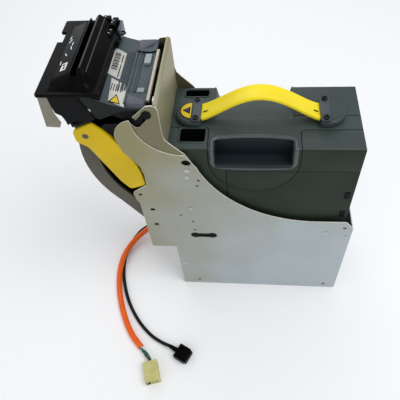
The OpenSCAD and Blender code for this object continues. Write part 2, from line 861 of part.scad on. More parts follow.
module guide_shell() {
    tip = on_guide(guide_r, guide_low) + [21.5, -35];
    color(grey) {
        along_y(-guide_y, guide_y) union() {
            band(guide_x, guide_z, guide_r - 2, guide_r, 161, guide_low, 24);
            polygon([on_guide(guide_r, guide_low), tip, tip + [1.9, 0.9],
                on_guide(guide_r - 2, guide_low)]);
        }
        both_sides() {
            along_y(41.6, guide_y) union() {
                polygon(concat(arc(guide_x, guide_z, guide_r, guide_mouth, guide_low, 20),
                    [tip, [-19, 151.5]], arc(guide_x, guide_z, skin_r - 4, guide_low, guide_mouth, 20)));
                polygon([[-74.8, 272], [-74.6, 292], [-57, 300.9], [-57, 272]]);
            }
            rod_y(lever_x, lever_z, 6, guide_y, 46);
            rod_y(lever_x, lever_z, lever_pin_r, guide_y, 51);
        }
    }
}

module guide_skin() {
    foot = on_guide(skin_r, guide_low) + [22.8, -37.4];
    color(black) along_y(-41.5, 41.5) union() {
        polygon(concat([[-62.1, 299.5]], arc(guide_x, guide_z, skin_r, guide_mouth, guide_low, 20),
            [foot, foot - [1, 0.6]], arc(guide_x, guide_z, skin_r + plate_t, guide_low, guide_mouth, 20),
            [[-63.3, 299.5]]));
    }
}

module lever_outline() {
    polygon(concat([[-75.2, 276.5], [-75.5, 290.3]], arc(-137.2, 215.2, 117.8, 46, -0.9, 16),
        [[-36, 206.5], [-44.3, 219.1], [-65.6, 270.4]]));
}

module lever() {
    color(yellow) difference() {
        along_y(-lever_y[1], -lever_y[0]) lever_outline();
        rod_y(lever_x, lever_z, lever_pin_r + 0.05, -52, -45);
    }
}

module lever_front() {
    lever();
}

module lever_rear() {
    mirror([0, 1, 0]) lever();
}

part_frame() side_plate_front();
part_frame() side_plate_rear();
part_frame() hook_plate_front();
part_frame() hook_plate_rear();
part_frame() base_pan();
part_frame() end_wall();
part_frame() column_floor();
part_frame() bay_wall();
part_frame() path_outer_guide();
part_frame() path_inner_guide();
part_frame() transport_deck();
part_frame() transport_belts();
part_frame() shaft_bearings();
part_frame() drive_shaft();
part_frame() idler_shaft();
part_frame() transport_motor();
part_frame() main_board();
part_frame() side_connector();
part_frame() chassis_rivets();
part_frame() stacker_frame();
part_frame() stacker_motor();
part_frame() motor_gear();
part_frame() pinion_shaft();
part_frame() pusher_plate();
part_frame() cord_gland();
part_frame() orange_cord();
part_frame() orange_pigtail();
part_frame() orange_plug();
part_frame() black_cord();
part_frame() black_plug();
part_frame() cassette_front();
part_frame() cassette_rear();
part_frame() cassette_roof();
part_frame() grip_pocket();
part_frame() corner_wells();
part_frame() handle_pads();
part_frame() handle_strap();
part_frame() handle_brackets();
part_frame() handle_screws();
part_frame() end_door();
part_frame() door_clips();
part_frame() follower_plate();
part_frame() follower_spring();
part_frame() head_housing();
part_frame() head_cover();
part_frame() head_trim();
part_frame() hinge_arms();
part_frame() release_bar();
part_frame() bezel_flange();
part_frame() bezel_lip();
part_frame() bezel_window();
part_frame() head_drive_roller();
part_frame() head_idler_roller();
part_frame() head_board();
part_frame() guide_shell();
part_frame() guide_skin();
part_frame() lever_front();
part_frame() lever_rear();
part_frame() transport_pinion();
part_frame() rear_socket();
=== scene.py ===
# Bill validator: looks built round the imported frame. Piece sizes are in millimetres from the
# base's left end, the middle of its width and the floor; toFrame turns them into the frame's metres.
import json
import math

import bmesh
import bpy
import numpy as np
from mathutils import Matrix, Vector

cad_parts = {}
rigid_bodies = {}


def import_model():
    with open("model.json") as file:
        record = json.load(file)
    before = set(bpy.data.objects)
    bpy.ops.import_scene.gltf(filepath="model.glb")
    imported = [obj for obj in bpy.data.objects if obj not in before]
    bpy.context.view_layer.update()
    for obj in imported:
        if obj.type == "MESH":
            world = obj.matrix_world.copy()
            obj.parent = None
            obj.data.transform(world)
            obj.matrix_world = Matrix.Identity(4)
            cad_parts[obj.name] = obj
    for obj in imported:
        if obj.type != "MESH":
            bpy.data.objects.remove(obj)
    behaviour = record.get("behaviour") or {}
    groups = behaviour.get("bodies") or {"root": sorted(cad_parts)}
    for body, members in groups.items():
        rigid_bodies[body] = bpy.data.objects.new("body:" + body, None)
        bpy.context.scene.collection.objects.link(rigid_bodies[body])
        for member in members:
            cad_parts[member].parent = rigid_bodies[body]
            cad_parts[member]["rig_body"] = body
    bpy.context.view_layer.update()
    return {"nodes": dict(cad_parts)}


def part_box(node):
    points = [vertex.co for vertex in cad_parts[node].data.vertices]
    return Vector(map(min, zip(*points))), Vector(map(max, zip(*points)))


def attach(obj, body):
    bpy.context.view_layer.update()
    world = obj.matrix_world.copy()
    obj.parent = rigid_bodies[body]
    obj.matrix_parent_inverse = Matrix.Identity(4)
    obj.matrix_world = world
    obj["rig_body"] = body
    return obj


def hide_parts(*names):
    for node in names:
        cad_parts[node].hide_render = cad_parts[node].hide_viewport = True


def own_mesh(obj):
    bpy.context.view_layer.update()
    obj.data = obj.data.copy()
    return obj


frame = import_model()
nodes = frame["nodes"]
mm = 0.001
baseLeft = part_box("base_pan")[0].x
print("frame loaded:", len(nodes), "nodes")


def toFrame(points):
    return np.asarray(points, float) * mm + [baseLeft, 0, 0]


def nodeBox(name):
    # a node's corners in the script's millimetres
    low, high = (np.array(corner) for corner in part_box(name))
    return (low - [baseLeft, 0, 0]) / mm, (high - [baseLeft, 0, 0]) / mm


cameraSetup = {"spot": (-0.01283, -0.34399, 0.57909), "azimuth": 10.278, "elevation": 52.565,
               "roll": -7.2115, "lens": 41.19, "sensor": 36}


def makeCamera(setup):
    turn, lift, roll = (math.radians(setup[key]) for key in ("azimuth", "elevation", "roll"))
    ahead = Vector((-math.sin(turn) * math.cos(lift), math.cos(turn) * math.cos(lift), -math.sin(lift)))
    across = Vector((math.cos(turn), math.sin(turn), 0))
    upward = across.cross(ahead)
    right = across * math.cos(roll) + upward * math.sin(roll)
    top = upward * math.cos(roll) - across * math.sin(roll)
    data = bpy.data.cameras.new("camera")
    data.lens, data.sensor_width = setup["lens"], setup["sensor"]
    data.clip_start, data.clip_end = 0.01, 20
    camera = bpy.data.objects.new("camera", data)
    bpy.context.collection.objects.link(camera)
    axes = Matrix((right, top, -ahead)).transposed().to_4x4()
    camera.matrix_world = Matrix.Translation(setup["spot"]) @ axes
    bpy.context.scene.camera = camera


# each softbox: where it hangs, what it faces, its width in metres and its watts
softboxes = {
    "key": {"spot": (0.55, -0.25, 1.35), "aim": (0.02, 0, 0.15), "size": 0.9, "power": 9},
    "fill": {"spot": (-0.9, -1.0, 0.75), "aim": (0, 0, 0.15), "size": 1.2, "power": 2.6},
    "rear": {"spot": (-0.35, 1.0, 1.0), "aim": (0, 0, 0.25), "size": 1.0, "power": 3.5},
}
studio = {"sky": (0.93, 0.96, 1.0, 1), "skyStrength": 0.66, "floorHalf": 3.0,
          "floorColour": (0.90, 0.90, 0.90, 1), "floorRoughness": 0.8}


def makeLights():
    for name, setup in softboxes.items():
        data = bpy.data.lights.new(name, "AREA")
        data.energy, data.size = setup["power"], setup["size"]
        light = bpy.data.objects.new(name, data)
        bpy.context.collection.objects.link(light)
        light.location = setup["spot"]
        aim = Vector(setup["aim"]) - Vector(setup["spot"])
        light.rotation_euler = aim.to_track_quat("-Z", "Y").to_euler()
    world = bpy.data.worlds.new("studio")
    bpy.context.scene.world = world
    world.use_nodes = True
    sky = world.node_tree.nodes["Background"]
    sky.inputs["Color"].default_value = studio["sky"]
    sky.inputs["Strength"].default_value = studio["skyStrength"]
    bpy.context.scene.view_settings.view_transform = "Standard"


def makeFloor():
    half = studio["floorHalf"]
    mesh = bpy.data.meshes.new("floor")
    mesh.from_pydata([(-half, -half, 0), (half, -half, 0), (half, half, 0), (-half, half, 0)],
                     [], [(0, 1, 2, 3)])
    floor = bpy.data.objects.new("floor", mesh)
    bpy.context.collection.objects.link(floor)
    material = bpy.data.materials.new("paleFloor")
    material.use_nodes = True
    shader = material.node_tree.nodes["Principled BSDF"]
    shader.inputs["Base Color"].default_value = studio["floorColour"]
    shader.inputs["Roughness"].default_value = studio["floorRoughness"]
    mesh.materials.append(material)


makeCamera(cameraSetup)
makeLights()
makeFloor()
print("camera, lights and floor made")


def blankMaterial(name, roughness, metallic):
    material = bpy.data.materials.new(name)
    material.use_nodes = True
    shader = material.node_tree.nodes["Principled BSDF"]
    shader.inputs["Roughness"].default_value = roughness
    shader.inputs["Metallic"].default_value = metallic
    return material, material.node_tree, shader


def objectSpots(tree, stretch=(1, 1, 1)):
    # object coordinates, in metres, scaled by stretch so that a pattern can run along one axis
    spots = tree.nodes.new("ShaderNodeTexCoord")
    mapping = tree.nodes.new("ShaderNodeMapping")
    mapping.inputs["Scale"].default_value = stretch
    tree.links.new(spots.outputs["Object"], mapping.inputs["Vector"])
    return mapping.outputs["Vector"]


def noiseOf(tree, vector, scale, detail=4):
    noise = tree.nodes.new("ShaderNodeTexNoise")
    noise.inputs["Scale"].default_value = scale
    noise.inputs["Detail"].default_value = detail
    tree.links.new(vector, noise.inputs["Vector"])
    return noise.outputs["Fac"]


def rangeOf(tree, value, fromRange, toRange):
    step = tree.nodes.new("ShaderNodeMapRange")
    for socket, number in zip(("From Min", "From Max", "To Min", "To Max"), (*fromRange, *toRange)):
        step.inputs[socket].default_value = number
    tree.links.new(value, step.inputs["Value"])
    return step.outputs["Result"]


def blendOf(tree, factor, first, second):
    # first and second are colours or sockets
    mix = tree.nodes.new("ShaderNodeMix")
    mix.data_type = "RGBA"
    tree.links.new(factor, mix.inputs["Factor"])
    for socket, colour in ((mix.inputs[6], first), (mix.inputs[7], second)):
        if isinstance(colour, tuple):
            socket.default_value = (*colour, 1)
        else:
            tree.links.new(colour, socket)
    return mix.outputs[2]


def bumpOf(tree, shader, height, strength, distance):
    bump = tree.nodes.new("ShaderNodeBump")
    bump.inputs["Strength"].default_value = strength
    bump.inputs["Distance"].default_value = distance
    tree.links.new(height, bump.inputs["Height"])
    tree.links.new(bump.outputs["Normal"], shader.inputs["Normal"])


def moulded(name, dark, light, roughness=0.45, grain=1400, grainDepth=0.25, mottle=28,
            clear=0.0, metallic=0.0, shine=0.28):
    # moulded or rolled finish: slow mottling of the colour, fine grain in height and in gloss
    material, tree, shader = blankMaterial(name, roughness, metallic)
    spots = objectSpots(tree)
    slow = noiseOf(tree, spots, mottle, 5)
    fine = noiseOf(tree, spots, grain, 3)
    colour = blendOf(tree, rangeOf(tree, slow, (0.3, 0.7), (0, 1)), dark, light)
    tree.links.new(colour, shader.inputs["Base Color"])
    tree.links.new(rangeOf(tree, fine, (0.2, 0.8), (roughness - 0.06, roughness + 0.08)),
                   shader.inputs["Roughness"])
    bumpOf(tree, shader, fine, grainDepth, 0.0002)
    shader.inputs["Specular IOR Level"].default_value = shine
    if clear:
        shader.inputs["Transmission Weight"].default_value = clear
    return material


def zincSheet(name, left, right, roughness, metallic):
    # passivated zinc whose colour carries a painted reflection: warm at the upper left, turning pale
    # and bluish to the lower right; the cloudy patches and fine rolling lines are the zinc's own
    material, tree, shader = blankMaterial(name, roughness, metallic)
    spots = objectSpots(tree)
    split = tree.nodes.new("ShaderNodeSeparateXYZ")
    tree.links.new(spots, split.inputs["Vector"])
    # painted reflection: the colour ramps with place across and down the sheet
    across = rangeOf(tree, split.outputs["X"], (-0.13, 0.03), (0, 0.62))
    down = rangeOf(tree, split.outputs["Z"], (0.30, 0.02), (0, 0.55))
    reflectionRamp = tree.nodes.new("ShaderNodeMath")
    reflectionRamp.operation = "ADD"
    tree.links.new(across, reflectionRamp.inputs[0])
    tree.links.new(down, reflectionRamp.inputs[1])
    cloud = noiseOf(tree, spots, 17, 3)
    reflectionAndCloud = tree.nodes.new("ShaderNodeMath")
    reflectionAndCloud.operation = "ADD"
    tree.links.new(reflectionRamp.outputs[0], reflectionAndCloud.inputs[0])
    tree.links.new(rangeOf(tree, cloud, (0.3, 0.7), (-0.16, 0.16)), reflectionAndCloud.inputs[1])
    reflectionAndCloudTint = blendOf(tree, reflectionAndCloud.outputs[0], left, right)
    speckle = noiseOf(tree, spots, 900, 2)
    dull = blendOf(tree, rangeOf(tree, speckle, (0.3, 0.7), (0, 0.16)), reflectionAndCloudTint, (0.30, 0.30, 0.27))
    tree.links.new(dull, shader.inputs["Base Color"])
    lines = noiseOf(tree, objectSpots(tree, (1, 1, 14)), 160, 3)
    tree.links.new(rangeOf(tree, lines, (0.3, 0.7), (roughness - 0.05, roughness + 0.06)),
                   shader.inputs["Roughness"])
    bumpOf(tree, shader, lines, 0.12, 0.0001)
    return material


def brushed(name, dark, light, roughness, stretch, metallic=0.9):
    # brushed metal: the grain runs along the axis that stretch leaves long
    material, tree, shader = blankMaterial(name, roughness, metallic)
    lines = noiseOf(tree, objectSpots(tree, stretch), 220, 4)
    tree.links.new(blendOf(tree, rangeOf(tree, lines, (0.3, 0.7), (0, 1)), dark, light),
                   shader.inputs["Base Color"])
    tree.links.new(rangeOf(tree, lines, (0.3, 0.7), (roughness - 0.08, roughness + 0.08)),
                   shader.inputs["Roughness"])
    bumpOf(tree, shader, lines, 0.15, 0.0001)
    return material


finishes = {
    # both zinc finishes carry the painted reflection ramp in their colour
    "zinc": zincSheet("zincSheet", (0.26, 0.232, 0.108), (0.42, 0.475, 0.50), 0.44, 0.35),
    "zincDark": zincSheet("zincHook", (0.15, 0.134, 0.062), (0.24, 0.23, 0.15), 0.40, 0.4),
    # painted highlight: a bright colour for the plates' cut edges, which catch the light
    "cutEdge": brushed("cutEdge", (0.62, 0.60, 0.50), (0.86, 0.84, 0.74), 0.35, (1, 20, 1), 0.4),
    "steel": brushed("turnedSteel", (0.40, 0.40, 0.39), (0.58, 0.58, 0.57), 0.32, (1, 18, 18)),
    "brass": brushed("brass", (0.55, 0.40, 0.14), (0.72, 0.55, 0.24), 0.32, (12, 1, 12)),
    "rubber": moulded("rubber", (0.012, 0.012, 0.013), (0.022, 0.022, 0.024), 0.62, 900, 0.3,
                      shine=0.2),
    "nylon": moulded("whiteNylon", (0.60, 0.58, 0.51), (0.68, 0.66, 0.60), 0.4, 700, 0.1, 40),
    "cream": moulded("creamNylon", (0.52, 0.47, 0.17), (0.64, 0.60, 0.27), 0.38, 700, 0.12, 90,
                     clear=0.10),
    "board": moulded("circuitBoard", (0.003, 0.016, 0.009), (0.007, 0.03, 0.016), 0.35, 300, 0.3, 160),
    "black": moulded("blackPlastic", (0.0015, 0.0017, 0.002), (0.0045, 0.005, 0.006), 0.5, shine=0.10),
    "gloss": moulded("glossBlack", (0.0005, 0.0005, 0.0006), (0.0015, 0.0015, 0.0018), 0.32, 300, 0.04,
                     20, shine=0.05),
    "smoke": moulded("smokeWindow", (0.005, 0.006, 0.007), (0.008, 0.009, 0.011), 0.28, 200, 0.02, 30,
                     shine=0.07),
    "case": moulded("slatePlastic", (0.028, 0.042, 0.038), (0.040, 0.057, 0.052), 0.46, 1500, 0.35, 14,
                    shine=0.30),
    # painted shade: the same slate made darker for the panel faces that look to the front
    "caseFront": moulded("slateWall", (0.015, 0.023, 0.015), (0.026, 0.035, 0.024), 0.5, 1500, 0.35, 14,
                         shine=0.16),
    # painted highlight: the slate made lighter for the grip rim, which is also glossier
    "caseRim": moulded("slateRim", (0.030, 0.046, 0.046), (0.042, 0.061, 0.061), 0.24, 900, 0.1, 14,
                       shine=0.6),
    # painted shade: the slate made far darker for the grip pocket's inside
    "tub": moulded("slateTub", (0.006, 0.010, 0.012), (0.010, 0.016, 0.019), 0.42, 1500, 0.3, 14,
                   shine=0.2),
    # painted shade: the cassette plastic made near-black for its wells and the body seen through holes
    "caseDark": moulded("wellPlastic", (0.002, 0.003, 0.003), (0.004, 0.006, 0.006), 0.6, shine=0.1),
    "slate": moulded("barPlastic", (0.040, 0.052, 0.064), (0.056, 0.070, 0.082), 0.36, 1200, 0.25, 30),
    "cover": moulded("slateBluePlastic", (0.036, 0.054, 0.062), (0.052, 0.072, 0.082), 0.40, 1200, 0.25,
                     30),
    # painted shade: the cover plastic made darker for its front and rear walls
    "coverDark": moulded("coverWall", (0.006, 0.010, 0.009), (0.013, 0.019, 0.017), 0.45, 1200, 0.25,
                         30, shine=0.15),
    "cheek": moulded("cheekPlastic", (0.050, 0.055, 0.078), (0.088, 0.094, 0.118), 0.30, 900, 0.15, 40),
    "yellow": moulded("yellowPlastic", (0.57, 0.385, 0.001), (0.66, 0.46, 0.002), 0.36, 900, 0.12, 24,
                      shine=0.2),
    "strap": moulded("yellowStrap", (0.80, 0.62, 0.012), (0.87, 0.71, 0.022), 0.40, 900, 0.15, 24,
                     shine=0.25),
    "guide": moulded("greyPlastic", (0.070, 0.064, 0.045), (0.098, 0.090, 0.066), 0.36, 1100, 0.2, 22),
    "light": moulded("paleGreyPlastic", (0.20, 0.25, 0.255), (0.30, 0.35, 0.36), 0.4, 900, 0.1, 40),
    "bar": brushed("satinBar", (0.30, 0.265, 0.205), (0.50, 0.455, 0.37), 0.36, (14, 1, 14), 0.5),
    "orange": moulded("orangeSheath", (0.74, 0.095, 0.004), (0.84, 0.135, 0.008), 0.34, 600, 0.12, 60),
    "cordBlack": moulded("blackSheath", (0.003, 0.003, 0.0035), (0.007, 0.007, 0.008), 0.36, 500, 0.15,
                         50, shine=0.16),
    "paper": moulded("labelPaper", (0.47, 0.465, 0.42), (0.57, 0.56, 0.52), 0.6, 900, 0.1, 60),
    "tag": moulded("tagPaper", (0.20, 0.185, 0.14), (0.27, 0.25, 0.20), 0.7, 900, 0.15, 60),
    # print ink, also used as painted shade for the strap's slits
    "ink": moulded("printInk", (0.004, 0.004, 0.006), (0.010, 0.010, 0.012), 0.5, 900, 0.05, 60,
                   shine=0.1),
    "blueInk": moulded("blueInk", (0.022, 0.014, 0.13), (0.032, 0.020, 0.18), 0.4, 900, 0.05, 60,
                       shine=0.15),
    "whitePrint": moulded("whitePrint", (0.70, 0.72, 0.74), (0.82, 0.83, 0.85), 0.45, 900, 0.05, 60),
    # painted highlight: a light grey for thin rods along the bezel's two ridges
    "ridge": moulded("ridgeBlack", (0.045, 0.05, 0.052), (0.08, 0.085, 0.09), 0.22, 300, 0.04, 60),
    "rib": moulded("ribPlastic", (0.060, 0.080, 0.094), (0.080, 0.100, 0.116), 0.36, 900, 0.15, 60),
    "wireGreen": moulded("greenWire", (0.010, 0.10, 0.06), (0.02, 0.15, 0.09), 0.35, 600, 0.1, 60),
    "wireWhite": moulded("whiteWire", (0.55, 0.56, 0.54), (0.66, 0.66, 0.64), 0.38, 600, 0.1, 60),
    "wireDark": moulded("darkWire", (0.02, 0.015, 0.014), (0.05, 0.03, 0.026), 0.38, 600, 0.1, 60),
    "screw": moulded("blackScrew", (0.006, 0.006, 0.007), (0.016, 0.016, 0.018), 0.28, 500, 0.1, 60,
                     metallic=0.5, shine=0.3),
}

# which nodes of the frame wear each finish while they show
nodeFinishes = {
    "zinc": ["side_plate_front", "side_plate_rear", "hook_plate_front", "hook_plate_rear", "base_pan",
             "end_wall", "column_floor", "bay_wall"],
    "steel": ["path_outer_guide", "transport_deck", "drive_shaft", "idler_shaft", "transport_motor",
              "chassis_rivets", "stacker_frame", "stacker_motor", "follower_spring",
              "head_drive_roller", "head_idler_roller"],
    "brass": ["motor_gear", "transport_pinion"],
    "nylon": ["pinion_shaft", "pusher_plate", "follower_plate"],
    "cream": ["orange_plug", "orange_pigtail"],
    "board": ["main_board", "head_board"],
    "rubber": ["transport_belts"],
    "black": ["shaft_bearings", "path_inner_guide", "side_connector", "cord_gland", "black_plug",
              "door_clips", "head_housing", "hinge_arms", "guide_skin", "rear_socket", "handle_screws",
              "black_cord"],
    "gloss": ["bezel_flange", "bezel_lip"],
    "smoke": ["bezel_window"],
    # the grip pocket wears painted shade
    "tub": ["grip_pocket"],
    "case": ["handle_pads", "end_door", "handle_brackets"],
    # the wells and the cassette body under the panels wear painted shade
    "caseDark": ["corner_wells", "cassette_front", "cassette_rear", "cassette_roof"],
    "cover": ["head_cover"],
    "light": ["head_trim"],
    "bar": ["release_bar"],
    "guide": ["guide_shell"],
    "yellow": ["lever_front", "lever_rear"],
    "strap": ["handle_strap"],
    "orange": ["orange_cord"],
}


def dressNodes():
    for finish, names in nodeFinishes.items():
        for name in names:
            mesh = nodes[name].data
            mesh.materials.clear()
            mesh.materials.append(finishes[finish])
    left = set(nodes) - {name for names in nodeFinishes.values() for name in names}
    print("finishes on", len(nodes) - len(left), "nodes, none on", sorted(left))


dressNodes()


# cords: middle lines and diameters in millimetres, lengths in metres
orangeCord = {
    "route": [[-16, 24, 91], [-16, 24, 82], [-17, 24.5, 70], [-21, 25.5, 56], [-28, 27, 43],
              [-38, 28, 31], [-51, 28, 21], [-64, 24.5, 13.5], [-75, 15, 9.6], [-83, 4, 8.8],
              [-88.5, -8, 8.7], [-92, -20, 8.4], [-93.5, -32, 7.2], [-94, -44, 5.4], [-91.8, -61, 4],
              [-87, -80, 3.9], [-78.5, -102, 3.9], [-69.5, -120, 3.9], [-59.5, -135, 3.9],
              [-46.5, -149, 3.9]],
    "diameter": 7.6, "length": 0.2947}
pigtail = {"route": [[-46.5, -149, 3.9], [-41.5, -154.5, 4.3], [-36.2, -160.5, 5.2],
                     [-31.9, -167.8, 6]],
           "wire": 1.9, "spread": 1.35, "twists": 0.9,
           "colours": ["wireGreen", "wireWhite", "wireDark", "wireGreen"]}
blackCord = {
    "route": [[-16, 38, 91], [-16, 38, 80], [-18, 39, 66], [-24, 40.5, 48], [-35, 42, 32],
              [-48, 42, 18], [-62, 38, 7.5], [-75, 29.5, 3], [-83, 16, 2.3], [-88, 2, 2.3],
              [-90.5, -12, 2.3], [-91, -24, 2.3], [-89.3, -40, 2.3], [-85.5, -56.5, 2.3],
              [-77, -79.5, 2.3], [-65.5, -100, 2.3], [-51.5, -118, 2.3], [-35.5, -132.5, 2.4],
              [-21, -141, 3.4], [-9.5, -145.8, 5]],
    "diameter": 4.4, "length": 0.3292}


def smoothRoute(route, perLeg=8):
    # each leg is the cubic through its ends whose slope at a point is half the step between that
    # point's neighbours
    spots = np.array(route, float)
    legs = len(spots) - 1
    leg = np.repeat(np.arange(legs), perLeg)
    t = np.tile(np.arange(perLeg) / perLeg, legs)[:, None]
    a, b, c, d = (spots[np.clip(leg + step, 0, legs)] for step in (-1, 0, 1, 2))
    curve = 0.5 * (2 * b + (c - a) * t + (2 * a - 5 * b + 4 * c - d) * t**2
                   + (3 * b - a - 3 * c + d) * t**3)
    return np.vstack([curve, spots[-1:]])


def roundCord(name, points, diameter, material):
    data = bpy.data.curves.new(name, "CURVE")
    data.dimensions = "3D"
    data.bevel_depth = diameter / 2 * mm
    data.bevel_resolution = 6
    data.use_fill_caps = True
    spline = data.splines.new("POLY")
    spline.points.add(len(points) - 1)
    spots = np.c_[toFrame(points), np.ones(len(points))]
    spline.points.foreach_set("co", spots.ravel().astype(np.float32))
    data.materials.append(finishes[material])
    cord = bpy.data.objects.new(name, data)
    bpy.context.collection.objects.link(cord)
    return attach(cord, "chassis")


def headings(path):
    # the path's direction at each of its points, one unit long
    ahead = np.gradient(path, axis=0)
    return ahead / np.linalg.norm(ahead, axis=1)[:, None]


def makeWires():
    # each wire winds round the pigtail's own line and spreads by half as it nears the plug
    line = smoothRoute(pigtail["route"], 10)
    ahead = headings(line)
    across = np.cross(ahead, [0, 0, 1])
    across /= np.linalg.norm(across, axis=1)[:, None]
    upward = np.cross(across, ahead)
    along = np.linspace(0, 1, len(line))
    wires = []
    for count, colour in enumerate(pigtail["colours"]):
        angle = 2 * np.pi * (pigtail["twists"] * along + count / len(pigtail["colours"]))
        spread = pigtail["spread"] * (1 + 0.5 * along)[:, None]
        points = line + spread * (across * np.cos(angle)[:, None] + upward * np.sin(angle)[:, None])
        wires.append(roundCord(f"pigtail_wire_{count + 1}", points, pigtail["wire"], colour))
    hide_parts("orange_pigtail")
    return wires


wires = makeWires()
orange = roundCord("orange_power_cord", smoothRoute(orangeCord["route"]), orangeCord["diameter"],
                   "orange")
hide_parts("orange_cord")
black = roundCord("black_data_cord", smoothRoute(blackCord["route"]), blackCord["diameter"],
                  "cordBlack")
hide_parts("black_cord")
print("cords laid")


# outlines: closed lists of u and v, in millimetres
def arcPoints(centre, radius, start, stop, count=24):
    # equal turns about the centre, from one angle in degrees to the other
    turn = np.radians(np.linspace(start, stop, count))
    return np.c_[centre[0] + radius * np.cos(turn), centre[1] + radius * np.sin(turn)]


def roundBox(low, high, radius, perCorner=7):
    # rectangle with a quarter circle at each corner, anticlockwise from the lower right
    inner = [(high[0] - radius, low[1] + radius, -90), (high[0] - radius, high[1] - radius, 0),
             (low[0] + radius, high[1] - radius, 90), (low[0] + radius, low[1] + radius, 180)]
    return np.vstack([arcPoints((x, y), radius, start, start + 90, perCorner) for x, y, start in inner])


def boxAbout(u, v, halfU, halfV, radius):
    return roundBox((u - halfU, v - halfV), (u + halfU, v + halfV), radius)


def softOutline(points, radius, steps=5):
    # each corner becomes a curve that leaves and joins its two edges a radius away from it
    spots = np.array(points, float)
    before, after = np.roll(spots, 1, 0) - spots, np.roll(spots, -1, 0) - spots
    lengths = [np.linalg.norm(side, axis=1)[:, None] for side in (before, after)]
    start = spots + before / lengths[0] * np.minimum(radius, lengths[0] * 0.45)
    stop = spots + after / lengths[1] * np.minimum(radius, lengths[1] * 0.45)
    t = np.linspace(0, 1, steps)[None, :, None]
    curve = start[:, None] * (1 - t)**2 + 2 * spots[:, None] * t * (1 - t) + stop[:, None] * t**2
    return curve.reshape(-1, 2)


def tilted(loop, degrees, centre):
    # the outline turned about its own middle and moved to a place
    turn = math.radians(degrees)
    rule = np.array([[math.cos(turn), math.sin(turn)], [-math.sin(turn), math.cos(turn)]])
    return np.asarray(loop, float) @ rule + centre


def evenLoop(corners, spacing=1.0):
    # a closed outline walked in equal steps
    spots = np.vstack([corners, corners[:1]])
    run = np.r_[0, np.cumsum(np.linalg.norm(np.diff(spots, axis=0), axis=1))]
    walk = np.arange(0, run[-1], spacing)
    return np.c_[np.interp(walk, run, spots[:, 0]), np.interp(walk, run, spots[:, 1])]


# laying rules: each takes u, v and n, which stands off the piece's face, to x, y and z
def upward(height):
    return lambda p: np.c_[p[:, 0], p[:, 1], height + p[:, 2]]


def frontward(place):
    return lambda p: np.c_[p[:, 0], place - p[:, 2], p[:, 1]]


def rearward(place):
    return lambda p: np.c_[-p[:, 0], place + p[:, 2], p[:, 1]]


def rightward(place):
    return lambda p: np.c_[place + p[:, 2], p[:, 0], p[:, 1]]


def raised(lay, height):
    # the same rule with everything standing further off the face
    return lambda p: lay(p + [0, 0, height])


def meshSpots(mesh):
    spots = np.empty(len(mesh.vertices) * 3, np.float32)
    mesh.vertices.foreach_get("co", spots)
    return spots.reshape(-1, 3).astype(float)


def faceNormals(mesh):
    normals = np.empty(len(mesh.polygons) * 3, np.float32)
    mesh.polygons.foreach_get("normal", normals)
    return normals.reshape(-1, 3)


def cutSheet(loops, thickness, edge, steps=2, bends=()):
    # closed outlines filled and made thick, their edges rounded; it lies in u and v with its
    # outer face at n = 0, and is cut across at each v in bends so that it can bend there
    data = bpy.data.curves.new("cut", "CURVE")
    data.dimensions, data.fill_mode = "2D", "BOTH"
    data.extrude = max(thickness / 2 - edge, 0)
    data.bevel_depth, data.bevel_resolution, data.offset = edge, steps, -edge
    for loop in loops:
        spline = data.splines.new("POLY")
        spline.points.add(len(loop) - 1)
        spots = np.c_[np.array(loop), np.zeros(len(loop)), np.ones(len(loop))]
        spline.points.foreach_set("co", spots.ravel().astype(np.float32))
        spline.use_cyclic_u = True
    shape = bpy.data.objects.new("cut", data)
    bpy.context.collection.objects.link(shape)
    bpy.context.view_layer.update()
    mesh = bpy.data.meshes.new_from_object(shape.evaluated_get(bpy.context.evaluated_depsgraph_get()))
    bpy.data.objects.remove(shape)
    work = bmesh.new()
    work.from_mesh(mesh)
    bmesh.ops.remove_doubles(work, verts=work.verts, dist=0.002)
    for place in bends:
        parts = work.verts[:] + work.edges[:] + work.faces[:]
        bmesh.ops.bisect_plane(work, geom=parts, plane_co=(0, place, 0), plane_no=(0, 1, 0))
    bmesh.ops.recalc_face_normals(work, faces=work.faces)
    work.to_mesh(mesh)
    work.free()
    spots = meshSpots(mesh)
    spots[:, 2] -= thickness / 2
    mesh.vertices.foreach_set("co", spots.astype(np.float32).ravel())
    return mesh


def gridMesh(points, roundRows=False, roundColumns=False, capped=False):
    # points has rows, columns and x, y, z; neighbours in the grid share a face
    rows, columns = points.shape[:2]
    index = np.arange(rows * columns).reshape(rows, columns)
    if roundRows:
        index = np.vstack([index, index[:1]])
    if roundColumns:
        index = np.hstack([index, index[:, :1]])
    quads = np.stack([index[:-1, :-1], index[1:, :-1], index[1:, 1:], index[:-1, 1:]], -1)
    faces = quads.reshape(-1, 4).tolist()
    if capped:
        faces += [list(range(columns)), list(range((rows - 1) * columns, rows * columns))]
    mesh = bpy.data.meshes.new("grid")
    mesh.from_pydata(toFrame(points.reshape(-1, 3)).tolist(), [], faces)
    work = bmesh.new()
    work.from_mesh(mesh)
    if capped or (roundRows and roundColumns):
        bmesh.ops.recalc_face_normals(work, faces=work.faces)
    work.to_mesh(mesh)
    work.free()
    return mesh


def steady(path, direction):
    # the same direction at each of the path's points
    return np.broadcast_to(np.array(direction, float), path.shape)


def carry(path, side, rise, profile, roundPath=False):
    # a closed profile carried along a path: its first number runs along side, its second along rise
    profile = np.asarray(profile, float)
    points = path[:, None] + side[:, None] * profile[..., :1] + rise[:, None] * profile[..., 1:]
    return gridMesh(points, roundPath, True, not roundPath)


def rod(start, stop, stations, radius, sides):
    # a straight round bar that runs mostly along y
    path = np.linspace(start, stop, stations)
    return carry(path, steady(path, (1, 0, 0)), steady(path, (0, 0, 1)),
                 arcPoints((0, 0), radius, 0, 330, sides))


